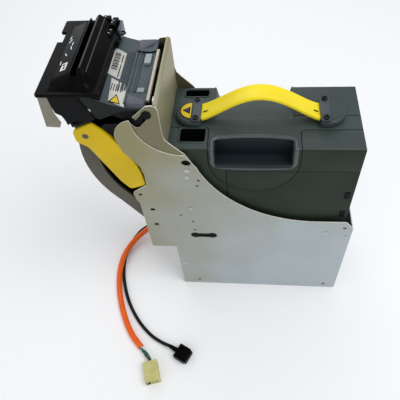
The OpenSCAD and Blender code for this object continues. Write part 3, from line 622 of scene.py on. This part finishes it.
def addPiece(name, mesh, finishNames, body, slot, stands=(), sharp=38):
    # stands names the nodes that the piece replaces
    mesh.name = name
    mesh.materials.clear()
    for finish in [finishNames] if isinstance(finishNames, str) else finishNames:
        mesh.materials.append(finishes[finish])
    mesh.shade_smooth()
    mesh.set_sharp_from_angle(angle=math.radians(sharp))
    piece = bpy.data.objects.new(name, mesh)
    bpy.context.collection.objects.link(piece)
    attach(piece, body)
    if stands:
        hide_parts(*stands)
    return piece


def plate(name, loops, thick, edge, lay, finish, body, slot, stands=(), steps=2, bends=()):
    # every point of a cut sheet goes through the laying rule and then into the frame's metres
    mesh = cutSheet(loops, thick, edge, steps, bends)
    mesh.vertices.foreach_set("co", toFrame(lay(meshSpots(mesh))).astype(np.float32).ravel())
    return addPiece(name, mesh, finish, body, slot, stands)


def easeEdges(piece, width, segments, angle):
    ease = piece.modifiers.new("ease", "BEVEL")
    ease.width, ease.segments = width * mm, segments
    ease.limit_method, ease.angle_limit = "ANGLE", math.radians(angle)
    return ease


copyEaseAngle = 32  # degrees; flatter edges of a copied node stay as they are


def softCopy(node, name, finishNames, slot, edge=0.35, steps=2, thinAxis=None):
    # a node's shape with its loose triangles joined into whole faces and its edges eased;
    # with a thin axis, the faces across it wear the second finish
    work = bmesh.new()
    work.from_mesh(nodes[node].data)
    bmesh.ops.remove_doubles(work, verts=work.verts, dist=2e-6)
    bmesh.ops.dissolve_limit(work, angle_limit=math.radians(0.6), verts=work.verts, edges=work.edges)
    mesh = bpy.data.meshes.new(name)
    work.to_mesh(mesh)
    work.free()
    piece = addPiece(name, mesh, finishNames, nodes[node]["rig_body"], slot, [node], copyEaseAngle)
    if thinAxis is not None:
        cut = np.abs(faceNormals(mesh)[:, thinAxis]) < 0.6
        mesh.polygons.foreach_set("material_index", cut.astype(np.int32))
    ease = easeEdges(piece, edge, steps, copyEaseAngle)
    ease.use_clamp_overlap, ease.harden_normals = False, True
    return piece


# the cassette's outer panels lie on one sheet wrapped over its front, roof and rear
caseShell = {"left": 9.2, "right": 195.2, "half": 45.8, "top": 262.8, "corner": 2.5, "low": 88.4,
             "thick": 0.9, "edge": 0.3}
caseEnd = {"face": 195.4, "half": 44.4, "top": 261.6, "corner": 2, "doorGap": (0.6, 0.8),
           "doorCorner": 0.8}
seams = {"gap": 0.35, "centre": (92.3, 245), "radius": 44.5, "level": 232, "plumb": 65, "back": 0.8,
         "left": -15.8, "leftCorner": 4, "right": -19, "rightCorner": 5}
wells = {"across": (19.5, 45), "spans": {"rear": (30, 41), "front": (-36, -17)}, "corner": 2.5,
         "rimOut": 0.6, "rimHalf": 1.2, "rimHeight": 1.3}
gripMouth = {"x": (52.4, 131.2), "low": 239, "back": -29, "corner": 4}
gripRim = {"x": (51.6, 132), "low": 238.6, "back": -30.2, "corner": 6, "bow": 2.6, "half": 2.3,
           "height": 1.8}
scoop = {"x": (51, 131), "from": -6, "deepAt": 42, "to": 45.8, "low": 249, "deep": 12.4, "most": 1.08,
         "start": 0.12, "below": 0.25, "ease": 4, "over": 0.3, "wall": 0.5}
casePiece = ("cassette", "cassette_plastic")


def caseRun():
    # where the wrapped sheet changes: top of the front, start and end of the roof, top of the rear
    shell = caseShell
    straight, turn = shell["top"] - shell["corner"], shell["corner"] * math.pi / 2
    flat = 2 * (shell["half"] - shell["corner"])
    return np.cumsum([straight, turn, flat, turn])


def wrapCase(points):
    # u is x; v climbs the front, turns over the front edge, crosses the roof and goes down the
    # rear, and n stands off the sheet. Each turn is a quarter circle about the corner's centre.
    shell, marks = caseShell, caseRun()
    u, v, n = np.asarray(points, float).T
    bent = np.clip(v - marks[0], 0, marks[1] - marks[0]) + np.clip(v - marks[2], 0, marks[3] - marks[2])
    angle = bent / shell["corner"]
    middleY = shell["corner"] - shell["half"] + np.clip(v - marks[1], 0, marks[2] - marks[1])
    middleZ = np.minimum(v, marks[0]) - np.maximum(v - marks[3], 0)
    reach = shell["corner"] + n
    return np.c_[u, middleY - reach * np.cos(angle), middleZ + reach * np.sin(angle)]


def roofRun(y):
    # v on the wrapped sheet of a line across the roof at y
    return caseRun()[1] + y + caseShell["half"] - caseShell["corner"]


def rearRun(z):
    # v on the wrapped sheet of a level line down the rear
    return caseRun()[3] + caseShell["top"] - caseShell["corner"] - z


def ringAtPlumb(x, radius):
    # angle of the ring seam's lower crossing with an upright line
    return 360 - math.degrees(math.acos((x - seams["centre"][0]) / radius))


def ringAtLevel(z, radius):
    # angle of the ring seam's right crossing with a level line
    return 360 - math.degrees(math.asin((seams["centre"][1] - z) / radius))


def wellMouth(span):
    across = wells["across"]
    return roundBox((across[0], roofRun(span[0])), (across[1], roofRun(span[1])), wells["corner"])


def casePanels():
    # each panel is its outline and then its holes; seams are the gaps between neighbours
    left, right, low = (caseShell[key] for key in ("left", "right", "low"))
    gap, centre, radius = seams["gap"], seams["centre"], seams["radius"]
    outer, inner = radius + gap, radius - gap
    before, after = seams["plumb"] - gap, seams["plumb"] + gap
    below, above = seams["level"] - gap, seams["level"] + gap
    leftTurn, rightTurn = roofRun(seams["left"]), roofRun(seams["right"])
    ridge, ledge = roofRun(seams["back"] - gap), roofRun(seams["back"] + gap)
    leftArc, rightArc = seams["leftCorner"], seams["rightCorner"]
    leftSpot = (centre[0] - radius - gap - leftArc, leftTurn - leftArc)
    rightSpot = (centre[0] + radius + gap + rightArc, rightTurn - gap - rightArc)
    scoopLow, scoopHigh = scoop["x"]
    scoopFrom, scoopTo = roofRun(scoop["from"]), rearRun(scoop["low"])
    grip = roundBox((gripMouth["x"][0], gripMouth["low"]),
                    (gripMouth["x"][1], roofRun(gripMouth["back"])), gripMouth["corner"])
    outlines = {
        "left": [[(left, low), (before, low)],
                 arcPoints(centre, outer, ringAtPlumb(before, outer), 180),
                 arcPoints(leftSpot, leftArc, 0, 90, 8), [(left, leftTurn)]],
        "lower": [[(after, low), (right, low), (right, below)],
                  arcPoints(centre, outer, ringAtLevel(below, outer), ringAtPlumb(after, outer), 30)],
        "ring_lower": [[(after, below)],
                       arcPoints(centre, inner, ringAtPlumb(after, inner),
                                 ringAtLevel(below, inner), 30)],
        "right": [[(right, above), (right, rightTurn - gap)],
                  arcPoints(rightSpot, rightArc, 90, 180, 8),
                  arcPoints(centre, outer, 360, ringAtLevel(above, outer), 8)],
        "middle": [arcPoints(centre, inner, 180, ringAtPlumb(before, inner), 14), [(before, above)],
                   arcPoints(centre, inner, ringAtLevel(above, inner), 360, 8),
                   arcPoints(rightSpot, rightArc + 2 * gap, 180, 90, 8),
                   [(right, rightTurn + gap), (right, ridge), (scoopHigh, ridge),
                    (scoopHigh, scoopFrom), (scoopLow, scoopFrom), (scoopLow, ridge), (left, ridge),
                    (left, leftTurn + 2 * gap)],
                   arcPoints(leftSpot, leftArc + 2 * gap, 90, 0, 8)],
        "rear": [[(left, ledge), (scoopLow, ledge), (scoopLow, scoopTo), (scoopHigh, scoopTo),
                  (scoopHigh, ledge), (right, ledge), (right, rearRun(above)), (left, rearRun(above))]],
        "rear_lower": [[(left, rearRun(below)), (right, rearRun(below)), (right, rearRun(low)),
                        (left, rearRun(low))]],
    }
    holes = {"left": [wellMouth(wells["spans"]["front"])], "middle": [grip],
             "rear": [wellMouth(wells["spans"]["rear"])]}
    return {name: [np.vstack(parts)] + holes.get(name, []) for name, parts in outlines.items()}


def makeCase():
    marks, shell = caseRun(), caseShell
    bends = [*np.linspace(marks[0], marks[1], 6), *np.linspace(marks[2], marks[3], 6)]
    for name, loops in casePanels().items():
        panel = plate(f"case_panel_{name}", loops, shell["thick"], shell["edge"], wrapCase,
                      ["case", "caseFront"], *casePiece, (), 1, bends)
        # faces that look to the front take the darker slate: painted shade
        facing = faceNormals(panel.data)[:, 1] < -0.7
        panel.data.polygons.foreach_set("material_index", facing.astype(np.int32))
    end, (low, high) = caseEnd, nodeBox("end_door")
    near, far = end["doorGap"]
    loops = [roundBox((-end["half"], shell["low"]), (end["half"], end["top"]), end["corner"]),
             roundBox((low[1] - near, low[2] - near), (high[1] + far, high[2] + near),
                      end["doorCorner"])]
    plate("case_panel_end", loops, shell["thick"], shell["edge"], rightward(end["face"]), "case",
          *casePiece, (), 1)


def makeScoop():
    # hollow behind the strap: the depth grows evenly to the rear and fades out at both ends
    shape, over = scoop, scoop["over"]
    x = np.linspace(shape["x"][0] - over, shape["x"][1] + over, 81)[:, None]
    y = np.linspace(shape["from"] - over, shape["to"], 53)[None, :]
    run = np.clip((y - shape["from"]) / (shape["deepAt"] - shape["from"]), 0, shape["most"])
    ends = np.clip(np.minimum(x - shape["x"][0], shape["x"][1] - x) / shape["ease"], 0, 1)
    fade = ends**2 * (3 - 2 * ends)
    fall = run * np.clip(run / shape["start"], 0, 1)  # the first part of the run starts gently
    z = caseShell["top"] - shape["below"] - shape["deep"] * fall * fade
    mesh = gridMesh(np.stack([x + 0 * y, y + 0 * x, z], -1))
    piece = addPiece("case_scoop", mesh, "case", *casePiece)
    if mesh.polygons[0].normal.z < 0:
        mesh.flip_normals()
    wall = piece.modifiers.new("wall", "SOLIDIFY")
    wall.thickness, wall.offset = shape["wall"] * mm, -1


def railLoop(name, loop, half, height, finish, lay, steps=10):
    # half an ellipse, sunk a little, carried round a closed outline on a laid sheet
    sunk = 0.4
    spots = np.asarray(loop, float)
    ahead = np.roll(spots, -1, 0) - np.roll(spots, 1, 0)
    ahead /= np.linalg.norm(ahead, axis=1)[:, None]
    side = np.c_[ahead[:, 1], -ahead[:, 0]]
    turn = np.linspace(0, np.pi, steps)
    across, rise = half * np.cos(turn), height * np.sin(turn) - sunk
    flat = spots[:, None] + side[:, None] * across[None, :, None]
    points = np.concatenate([flat, np.broadcast_to(rise[None, :, None], flat.shape[:2] + (1,))], -1)
    shape = lay(points.reshape(-1, 3)).reshape(points.shape)
    addPiece(name, gridMesh(shape, True, True), finish, *casePiece)


def makeRims():
    rim, out = gripRim, wells["rimOut"]
    loop = evenLoop(roundBox((rim["x"][0], rim["low"]), (rim["x"][1], roofRun(rim["back"])),
                             rim["corner"]))
    share = (loop[:, 0] - rim["x"][0]) / (rim["x"][1] - rim["x"][0])
    middle = (rim["low"] + roofRun(rim["back"])) / 2
    # the long sides bow outward, most at their middle
    loop[:, 1] += rim["bow"] * np.sin(np.pi * share) * np.sign(loop[:, 1] - middle)
    # the rim's lighter slate is a painted highlight
    railLoop("grip_rim", loop, rim["half"], rim["height"], "caseRim", wrapCase)
    for name, span in wells["spans"].items():
        loop = evenLoop(roundBox((wells["across"][0] - out, span[0] - out),
                                 (wells["across"][1] + out, span[1] + out), wells["corner"] + out), 0.8)
        railLoop(f"{name}_well_rim", loop, wells["rimHalf"], wells["rimHeight"], "case",
                 upward(caseShell["top"]), 7)


makeCase()
makeScoop()
makeRims()
softCopy("end_door", "end_door_leaf", "case", "cassette_plastic", 0.5)
softCopy("door_clips", "door_clip_pair", "black", "black_plastic", 0.5)
print("cassette clothed")


# carrying handle: a pad, a bar and two screws at each end of the strap
pads = {"x": (30.8, 162.6), "facing": (1, -1), "reach": 17.2, "flat": (8.9, 7.4), "corner": 3.2,
        "top": 270.2, "deep": 9.6, "round": 3, "face": 12.9, "faceRise": 0.5}
sticker = {"x": 30.0, "reach": (11.6, 11.0), "flat": (0.3, -0.3), "rise": (0.7, 0.85),
           "mark": [[-3.6, 0.0], [2.2, -4.0], [2.2, 4.0]], "markX": 25.4,
           "marks": (("pad_mark_edge", 1.35, 1.0, "ink"), ("pad_mark", 0.85, 1.12, "blueInk"))}
bars = {"x": ((30.4, 39.8), (155.1, 164.5)), "half": 16.8, "corner": 2, "thick": 3.6, "round": 1.1,
        "top": 273.2, "screwX": (34.9, 160.0), "screwY": {"front": -13.4, "rear": 13.4},
        "screwR": 3.1, "socketR": 1.5, "screwTop": 274.9, "screwTall": 2.4}
strap = {"x": (39.7, 155.2), "rise": 25, "power": 1.3, "low": 270.6, "thick": 4.6, "half": 10.2,
         "flare": 1.1, "round": 1.9, "hollow": ((6.6, 0.05), (5.6, -0.4)),
         "slits": {"left": 0.035, "right": 0.965}, "slitY": -2.4, "slitHalf": (2.6, 0.8)}


def padOutline(reach, flat, corner, facing, centre):
    # half a circle closed by a flat with two small corners
    corners = [arcPoints((flat - corner, corner - reach), corner, -90, 0, 7),
               arcPoints((flat - corner, reach - corner), corner, 0, 90, 7)]
    loop = np.vstack([arcPoints((0, 0), reach, 90, 270, 44), *corners])
    return loop * [facing, 1] + [centre, 0]


def makePads():
    for side, facing, centre, flat in zip(("left", "right"), pads["facing"], pads["x"], pads["flat"]):
        plate(f"handle_pad_{side}", [padOutline(pads["reach"], flat, pads["corner"], facing, centre)],
              pads["deep"], pads["round"], upward(pads["top"]), "case", *casePiece,
              ["handle_pads"] if side == "left" else (), 5)
        plate(f"pad_face_{side}", [padOutline(pads["face"], 0.4, 0.3, facing, centre)], 0.8, 0.35,
              upward(pads["top"] + pads["faceRise"]), "case", *casePiece)


def makeSticker():
    # plain yellow half disc with a dark outline and a blue triangle
    rows = zip(("pad_sticker_edge", "pad_sticker"), sticker["reach"], sticker["flat"], sticker["rise"],
               ("ink", "yellow"))
    for name, reach, flat, rise, finish in rows:
        plate(name, [padOutline(reach, flat, 0.2, 1, sticker["x"])], 0.3, 0.05,
              upward(pads["top"] + rise), finish, "cassette", "yellow_plastic")
    for name, grow, rise, finish in sticker["marks"]:
        corners = np.array(sticker["mark"]) * grow + [sticker["markX"], 0]
        plate(name, [corners], 0.2, 0.04, upward(pads["top"] + rise), finish, "cassette",
              "yellow_plastic")


def makeBars():
    for side, (low, high), at in zip(("left", "right"), bars["x"], bars["screwX"]):
        loop = roundBox((low, -bars["half"]), (high, bars["half"]), bars["corner"])
        plate(f"handle_bar_{side}", [loop], bars["thick"], bars["round"], upward(bars["top"]),
              "slate", *casePiece, ["handle_brackets"] if side == "left" else (), 3)
        for end, y in bars["screwY"].items():
            ring = arcPoints((at, y), bars["screwR"], 0, 345, 24)
            socket = arcPoints((at, y), bars["socketR"], 0, 300, 6)
            plate(f"bar_screw_{side}_{end}", [ring, socket], bars["screwTall"], 0.4,
                  upward(bars["screwTop"]), "screw", "cassette", "screw_black",
                  ["handle_screws"] if (side, end) == ("left", "front") else ())


def archHeight(share):
    # half a sine wave to a power that flattens its feet
    return strap["low"] + strap["rise"] * np.clip(np.sin(np.pi * share), 0, 1)**strap["power"]


def makeStrap():
    # a flat bar with round edges and a shallow hollow along its top, a little wider at its feet
    start, stop = strap["x"]
    share = np.linspace(0, 1, 73)
    x = start + share * (stop - start)
    path = np.c_[x, 0 * x, archHeight(share)]
    side = steady(path, (0, 1, 0))
    half = strap["half"] + strap["flare"] * (2 * share - 1)**4
    drawn = 10  # half the width that the section is drawn at
    box = roundBox((-drawn, -strap["thick"]), (drawn, 0), strap["round"], 6)
    (lip, lipRise), (dip, dipRise) = strap["hollow"]
    section = np.vstack([box[:12], [(lip, lipRise), (dip, dipRise), (-dip, dipRise), (-lip, lipRise)],
                         box[12:]])
    # each point keeps its distance from its own edge as the width changes
    across = section[None, :, 0] + np.sign(section[None, :, 0]) * (half[:, None] - drawn)
    profile = np.stack([across, np.broadcast_to(section[None, :, 1], across.shape)], -1)
    addPiece("carry_strap", carry(path, side, np.cross(headings(path), side), profile), "strap",
             "cassette", "yellow_plastic", ["handle_strap"])


def strapSlope(share, y):
    # laying rule on the strap's top: u runs along its slope and v across it
    start, stop = strap["x"]
    step = 0.01
    slope = (archHeight(share + step) - archHeight(share - step)) / (2 * step) / (stop - start)
    run = np.array([1, slope]) / math.hypot(1, slope)
    x, z = start + share * (stop - start), archHeight(share)
    return lambda p: np.c_[x + p[:, 0] * run[0] - p[:, 2] * run[1], y + p[:, 1],
                           z + p[:, 0] * run[1] + p[:, 2] * run[0]]


def makeSlitShades():
    # painted shade: each slit is a thin dark sheet on the strap's top in place of an opening
    halfU, halfV = strap["slitHalf"]
    for side, share in strap["slits"].items():
        plate(f"strap_slit_shade_{side}", [boxAbout(0, 0, halfU, halfV, 0.7)], 0.6, 0.1,
              raised(strapSlope(share, strap["slitY"]), 0.02), "ink", "cassette", "yellow_plastic")


makePads()
makeSticker()
makeBars()
makeStrap()
makeSlitShades()
print("handle made")


# release levers
lever = {"foot": [(-75.2, 276.5), (-75.5, 290.3)], "centre": (-137.2, 215.2), "radius": 117.8,
         "turn": (46, -0.9), "inner": [(-36, 206.5), (-44.3, 219.1), (-65.6, 270.4)],
         "corner": 4, "thick": 4.4, "round": 1.4, "face": 50.7}


def makeLevers():
    arc = arcPoints(lever["centre"], lever["radius"], *lever["turn"], 34)
    loop = softOutline(np.vstack([lever["foot"], arc, lever["inner"]]), lever["corner"], 6)
    for end, outline, lay in (("front", loop, frontward(-lever["face"])),
                              ("rear", loop * [-1, 1], rearward(lever["face"]))):
        plate(f"lever_blade_{end}", [outline], lever["thick"], lever["round"], lay, "yellow",
              f"lever_{end}", "yellow_plastic", [f"lever_{end}"], 3)


makeLevers()
print("levers made")


# bezel: sections of x and z carried along y, and a window on the left body's slope
bezel = {"base": 338, "front": (-51.5, -38.5), "rear": (41, 46.5), "throat": 41.6, "least": 0.02,
         "ease": 0.35, "easeAngle": 24,
         "left": [(-83, 338), (-81.5, 339.6), (-64.8, 346.2), (-61.9, 349.3), (-61.55, 349.5),
                  (-61.55, 338)],
         "right": [(-56.45, 338), (-56.45, 349.6), (-55.6, 350.4), (-53.4, 352.2), (-52.2, 352.2),
                   (-49.5, 350), (-46.5, 343), (-42, 339), (-41, 338)],
         "bridge": [(-61.6, 338), (-61.6, 349.4), (-56.4, 349.5), (-56.4, 338)],
         "ridges": [((-53.4, -38, 352.0), (-53.6, 40.5, 352.0)),
                    ((-48.6, -38.5, 348.2), (-48.8, 40.5, 348.2))],
         "ridgeR": 0.42}
window = {"foot": (-81.5, 339.6), "slope": (16.7, 6.6), "low": (-37.2, 0.9), "high": (40, 17),
          "corner": 1.2,
          "dashes": [(-78, 20.5, 0), (-77, 14.9, 32), (-73, 8.5, 0), (-72.8, 2.3, -20),
                     (-75.9, -6, -30), (-78.1, -17, -8)],
          "dashHalf": (2.6, 0.5), "icon": (-72.5, -25), "iconHalf": (5.2, 2.9),
          "marks": [((-3.8, -0.4), (-0.8, 1.6)), ((0.6, -1.6), (3.6, 0.8))]}


def bezelBody(name, section, span, stands=()):
    # the section carried along y; its height grows up the front ramp and falls down the rear one
    front, rear, least = bezel["front"], bezel["rear"], bezel["least"]
    y = np.unique(np.r_[np.linspace(*front, 9), np.linspace(*rear, 5), span])
    y = y[(y >= span[0]) & (y <= span[1])]
    tall = np.interp(y, [*front, *rear], [least, 1, 1, least])
    outline = np.array(section, float)
    x = np.broadcast_to(outline[None, :, 0], (len(y), len(outline)))
    z = bezel["base"] + (outline[None, :, 1] - bezel["base"]) * tall[:, None]
    points = np.stack([x, np.broadcast_to(y[:, None], x.shape), z], -1)
    piece = addPiece(name, gridMesh(points, False, True, True), "gloss", "head", "black_gloss", stands,
                     bezel["easeAngle"])
    easeEdges(piece, bezel["ease"], 2, bezel["easeAngle"])


def onWindow(p):
    # u runs along y and v climbs the slope from its foot
    (footX, footZ), slope = window["foot"], np.array(window["slope"])
    run = slope / math.hypot(*slope)
    return np.c_[footX + p[:, 1] * run[0] - p[:, 2] * run[1], p[:, 0],
                 footZ + p[:, 1] * run[1] + p[:, 2] * run[0]]


def windowPlace(x, y):
    # u and v of the spot on the slope over x and y
    return y, (x - window["foot"][0]) * math.hypot(*window["slope"]) / window["slope"][0]


def windowPrint(name, loops, height, finish):
    plate(name, loops, 0.2, 0.05, raised(onWindow, height), finish, "head", "smoke_window")


def makeWindow():
    plate("bezel_glass", [roundBox(window["low"], window["high"], window["corner"])], 0.8, 0.3,
          raised(onWindow, 0.35), "smoke", "head", "smoke_window", ["bezel_window"])
    for count, (x, y, tilt) in enumerate(window["dashes"]):
        dash = boxAbout(0, 0, *window["dashHalf"], 0.3)
        windowPrint(f"window_dash_{count + 1}", [tilted(dash, tilt, windowPlace(x, y))], 0.5,
                    "whitePrint")
    u, v = windowPlace(*window["icon"])
    windowPrint("window_icon", [boxAbout(u, v, *window["iconHalf"], 0.4)], 0.5, "whitePrint")
    marks = [roundBox((u + low[0], v + low[1]), (u + high[0], v + high[1]), 0.5)
             for low, high in window["marks"]]
    windowPrint("window_icon_marks", marks, 0.62, "ink")


def makeBezel():
    front, rear = bezel["front"][0], bezel["rear"][1]
    bezelBody("bezel_body_left", bezel["left"], (front, rear), ["bezel_lip"])
    bezelBody("bezel_body_right", bezel["right"], (front, rear))
    bezelBody("bezel_bridge", bezel["bridge"], (front, -bezel["throat"]))
    softCopy("bezel_flange", "bezel_plate", "gloss", "black_gloss", 0.5)
    makeWindow()
    # painted highlights: thin light grey rods along the two ridges
    for count, (low, high) in enumerate(bezel["ridges"]):
        addPiece(f"bezel_ridge_highlight_{count + 1}", rod(low, high, 12, bezel["ridgeR"], 12), "ridge", "head",
                 "black_gloss")


makeBezel()
print("bezel made")


# head cover: labels follow its top line, whose points are x and z
coverLine = np.array([(-40.6, 325.3), (-31.8, 321.6), (-19.9, 318), (-13.7, 317.1), (-8, 316.6),
                      (-2.2, 318.5)])
labels = {"sheets": {"cover_label_1": [(28.2, -41.0), (23.8, -29.4), (-15, -29.1), (-11.2, -40.8)],
                     "cover_label_2": [(-15.6, -36.6), (-20.1, -23), (-49, -20.7), (-45.3, -34.3)]},
          "bars": ((-3.5, 1.2), (-1.4, 0.7), (0.2, 1.6), (2.6, 0.8), (4.2, 1.4), (6.5, 0.7), (8.2, 1.8),
                   (11, 0.9), (13, 1.5), (15.6, 0.8), (17.4, 1.6), (20, 1.1)),
          "barSpan": (-39.4, -34.4), "strokes": ((-12.5, 6), (8, 20)), "strokeSpan": (-32.6, -31.8),
          "lines": (-35, -33, -31, -29, -27), "lineSpan": (-31.5, -22), "lineWide": 0.7,
          "patchEdge": [(-34.5, -29), (-46.2, -34), (-46.8, -24)],
          "patch": [(-36.6, -29), (-45.2, -32.6), (-45.6, -25.2)]}
cheeks = {"cheek_front": [(-21.6, -31.9), (-19.6, -48), (-5.3, -49.1), (-2.4, -49), (-2.4, -41.6),
                          (-7.5, -38.9)],
          "cheek_rear": [(-22, 48.6), (-19.7, 30.9), (-14.7, 35.4), (-5.4, 41.8), (-2.4, 44.4),
                         (-2.6, 48.8)]}
cheekSize = {"corner": 3, "thick": 4.6, "round": 1.9, "top": 320.6}
ribs = {"half": 30, "radius": 0.6,
        "at": ((-29.3, 321.4), (-25.3, 320.2), (-21.3, 319.1), (-17.3, 318.3))}


def onCover(p):
    # u runs along y and v is x; n stands off the cover's top line
    u, v, n = p.T
    return np.c_[v, u, np.interp(v, coverLine[:, 0], coverLine[:, 1]) + 0.1 + n]


def coverPrint(name, loops, height, finish="ink", slot="cover_plastic", thick=0.12, edge=0.02):
    plate(name, loops, thick, edge, raised(onCover, height), finish, "head", slot, (), 1,
          coverLine[1:-1, 0])


def makeLabels():
    for name, loop in labels["sheets"].items():
        coverPrint(name, [loop], 0.3, "paper", thick=0.25, edge=0.06)
    (barLow, barHigh), (low, high) = labels["barSpan"], labels["strokeSpan"]
    marks = [roundBox((y, barLow), (y + wide, barHigh), 0.05, 2) for y, wide in labels["bars"]]
    marks += [roundBox((start, low), (stop, high), 0.1, 2) for start, stop in labels["strokes"]]
    coverPrint("label_bars", marks, 0.42)
    start, stop = labels["lineSpan"]
    coverPrint("label_lines", [roundBox((start, v), (stop, v + labels["lineWide"]), 0.1, 2)
                               for v in labels["lines"]], 0.42)
    coverPrint("label_patch_edge", [labels["patchEdge"]], 0.42)
    coverPrint("label_patch", [labels["patch"]], 0.5, "yellow", "yellow_plastic")


def makeCheeks():
    for name, loop in cheeks.items():
        plate(name, [softOutline(loop, cheekSize["corner"], 5)], cheekSize["thick"], cheekSize["round"],
              upward(cheekSize["top"]), "cheek", "head", "cover_plastic", (), 5)


def makeRibs():
    for count, (x, z) in enumerate(ribs["at"]):
        bar = rod((x, -ribs["half"], z), (x, ribs["half"], z), 8, ribs["radius"], 10)
        addPiece(f"cover_rib_{count + 1}", bar, "rib", "head", "cover_plastic")


# the cover's faces that look to the front and rear wear painted shade
softCopy("head_cover", "cover_shell", ["coverDark", "cover"], "cover_plastic", 0.4, 2, 1)
softCopy("release_bar", "release_bar_soft", "bar", "satin_bar", 0.8, 3)
softCopy("head_trim", "cover_light_blocks", "light", "light_plastic", 0.3)
softCopy("hinge_arms", "hinge_arm_pair", "black", "black_plastic", 0.4)
makeLabels()
makeCheeks()
makeRibs()
print("head cover made")


# low black housings of different heights on the bezel plate's rear right corner, with bright pins
connectors = {"foot": 337.8, "corner": 0.8, "round": 0.6,
              "boxes": [((-54, 25), (-48, 33), 342.5), ((-47, 24), (-41.5, 36), 341),
                        ((-53.5, 47), (-46, 53.5), 344), ((-45, 38), (-40, 46), 343),
                        ((-45, 47.5), (-39.5, 54), 341.5)],
              "pins": [(-50.6, 49.2, 345.2), (-48.2, 51.2, 345.2), (-43, 41, 344.2), (-42, 44, 344.2),
                       (-44, 27, 342.2), (-43, 32, 342.2)],
              "pinHalf": (0.7, 0.5), "pinTall": 2.2}
tab = {"low": (-38.2, 327), "high": (-35.8, 338.5), "deep": 17, "front": 36.5}
eyelet = {"centre": (-34.6, 40, 333), "radius": 2.4, "wire": 0.8}
tag = {"corners": [(-93.6, 334), (-97.6, 297), (-84.8, 296), (-81.6, 302), (-84.6, 312), (-85.6, 334)],
       "thick": 0.5, "front": -50.4}


def makeConnectors():
    for count, (low, high, top) in enumerate(connectors["boxes"]):
        plate(f"connector_{count + 1}", [roundBox(low, high, connectors["corner"])],
              top - connectors["foot"], connectors["round"], upward(top), "gloss", "head",
              "black_gloss")
    for count, (x, y, top) in enumerate(connectors["pins"]):
        plate(f"connector_pin_{count + 1}", [boxAbout(x, y, *connectors["pinHalf"], 0.2)],
              connectors["pinTall"], 0.15, upward(top), "steel", "head", "steel")
    plate("connector_tab", [roundBox(tab["low"], tab["high"], 0.8)], tab["deep"], 0.5,
          frontward(tab["front"]), "cheek", "head", "light_plastic")


def makeEyelet():
    # a wire carried round a level circle
    (x, y, z), turn = eyelet["centre"], np.linspace(0, 2 * np.pi, 25)[:-1]
    outward = np.c_[np.cos(turn), np.sin(turn), 0 * turn]
    path = np.array([x, y, z]) + eyelet["radius"] * outward
    ring = carry(path, outward, steady(path, (0, 0, 1)),
                 arcPoints((0, 0), eyelet["wire"], 0, 315, 8), True)
    addPiece("cover_eyelet", ring, "black", "head", "black_plastic")


makeConnectors()
makeEyelet()
plate("hanging_tag", [tag["corners"]], tag["thick"], 0.1, frontward(tag["front"]), "tag", "head",
      "cover_plastic", (), 1)
print("connectors and tag made")


# folded sheets keep a thin easing; the cut edges of the side and hook plates wear a painted highlight
for plateNode, finish in (("side_plate_front", "zinc"), ("side_plate_rear", "zinc"),
                          ("hook_plate_front", "zincDark"), ("hook_plate_rear", "zincDark")):
    softCopy(plateNode, plateNode + "_eased", [finish, "cutEdge"], "zinc_sheet", 0.18, 1, 1)
softCopy("base_pan", "base_pan_eased", "zinc", "zinc_sheet", 0.25, 1)
softCopy("end_wall", "end_wall_eased", "zinc", "zinc_sheet", 0.25, 1)
print("plates eased")


# the plugs travel with their cords
orangePlug = softCopy("orange_plug", "power_plug", "cream", "cream_nylon", 0.5)
blackPlug = softCopy("black_plug", "data_plug", "gloss", "black_plastic", 0.6)


# the follower's springs
springs = {"x": {"left": 32, "right": 152}, "radius": 9.6, "wire": 1.6, "low": 107, "tall": 150,
           "turns": 8}


def makeSprings():
    # a wire carried round each spring's middle line as it climbs at an even rate
    turn = np.linspace(0, 2 * np.pi * springs["turns"], 24 * springs["turns"] + 1)
    for name, middle in springs["x"].items():
        path = np.c_[middle + springs["radius"] * np.cos(turn), springs["radius"] * np.sin(turn),
                     springs["low"] + springs["tall"] * turn / turn[-1]]
        outward = np.c_[np.cos(turn), np.sin(turn), 0 * turn]
        coil = carry(path, outward, np.cross(headings(path), outward),
                     arcPoints((0, 0), springs["wire"] / 2, 0, 324, 10))
        spring = addPiece(f"follower_coil_{name}", coil, "steel", "cassette", "steel",
                          ["follower_spring"] if name == "left" else ())
        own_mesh(spring)


makeSprings()
print("springs made")
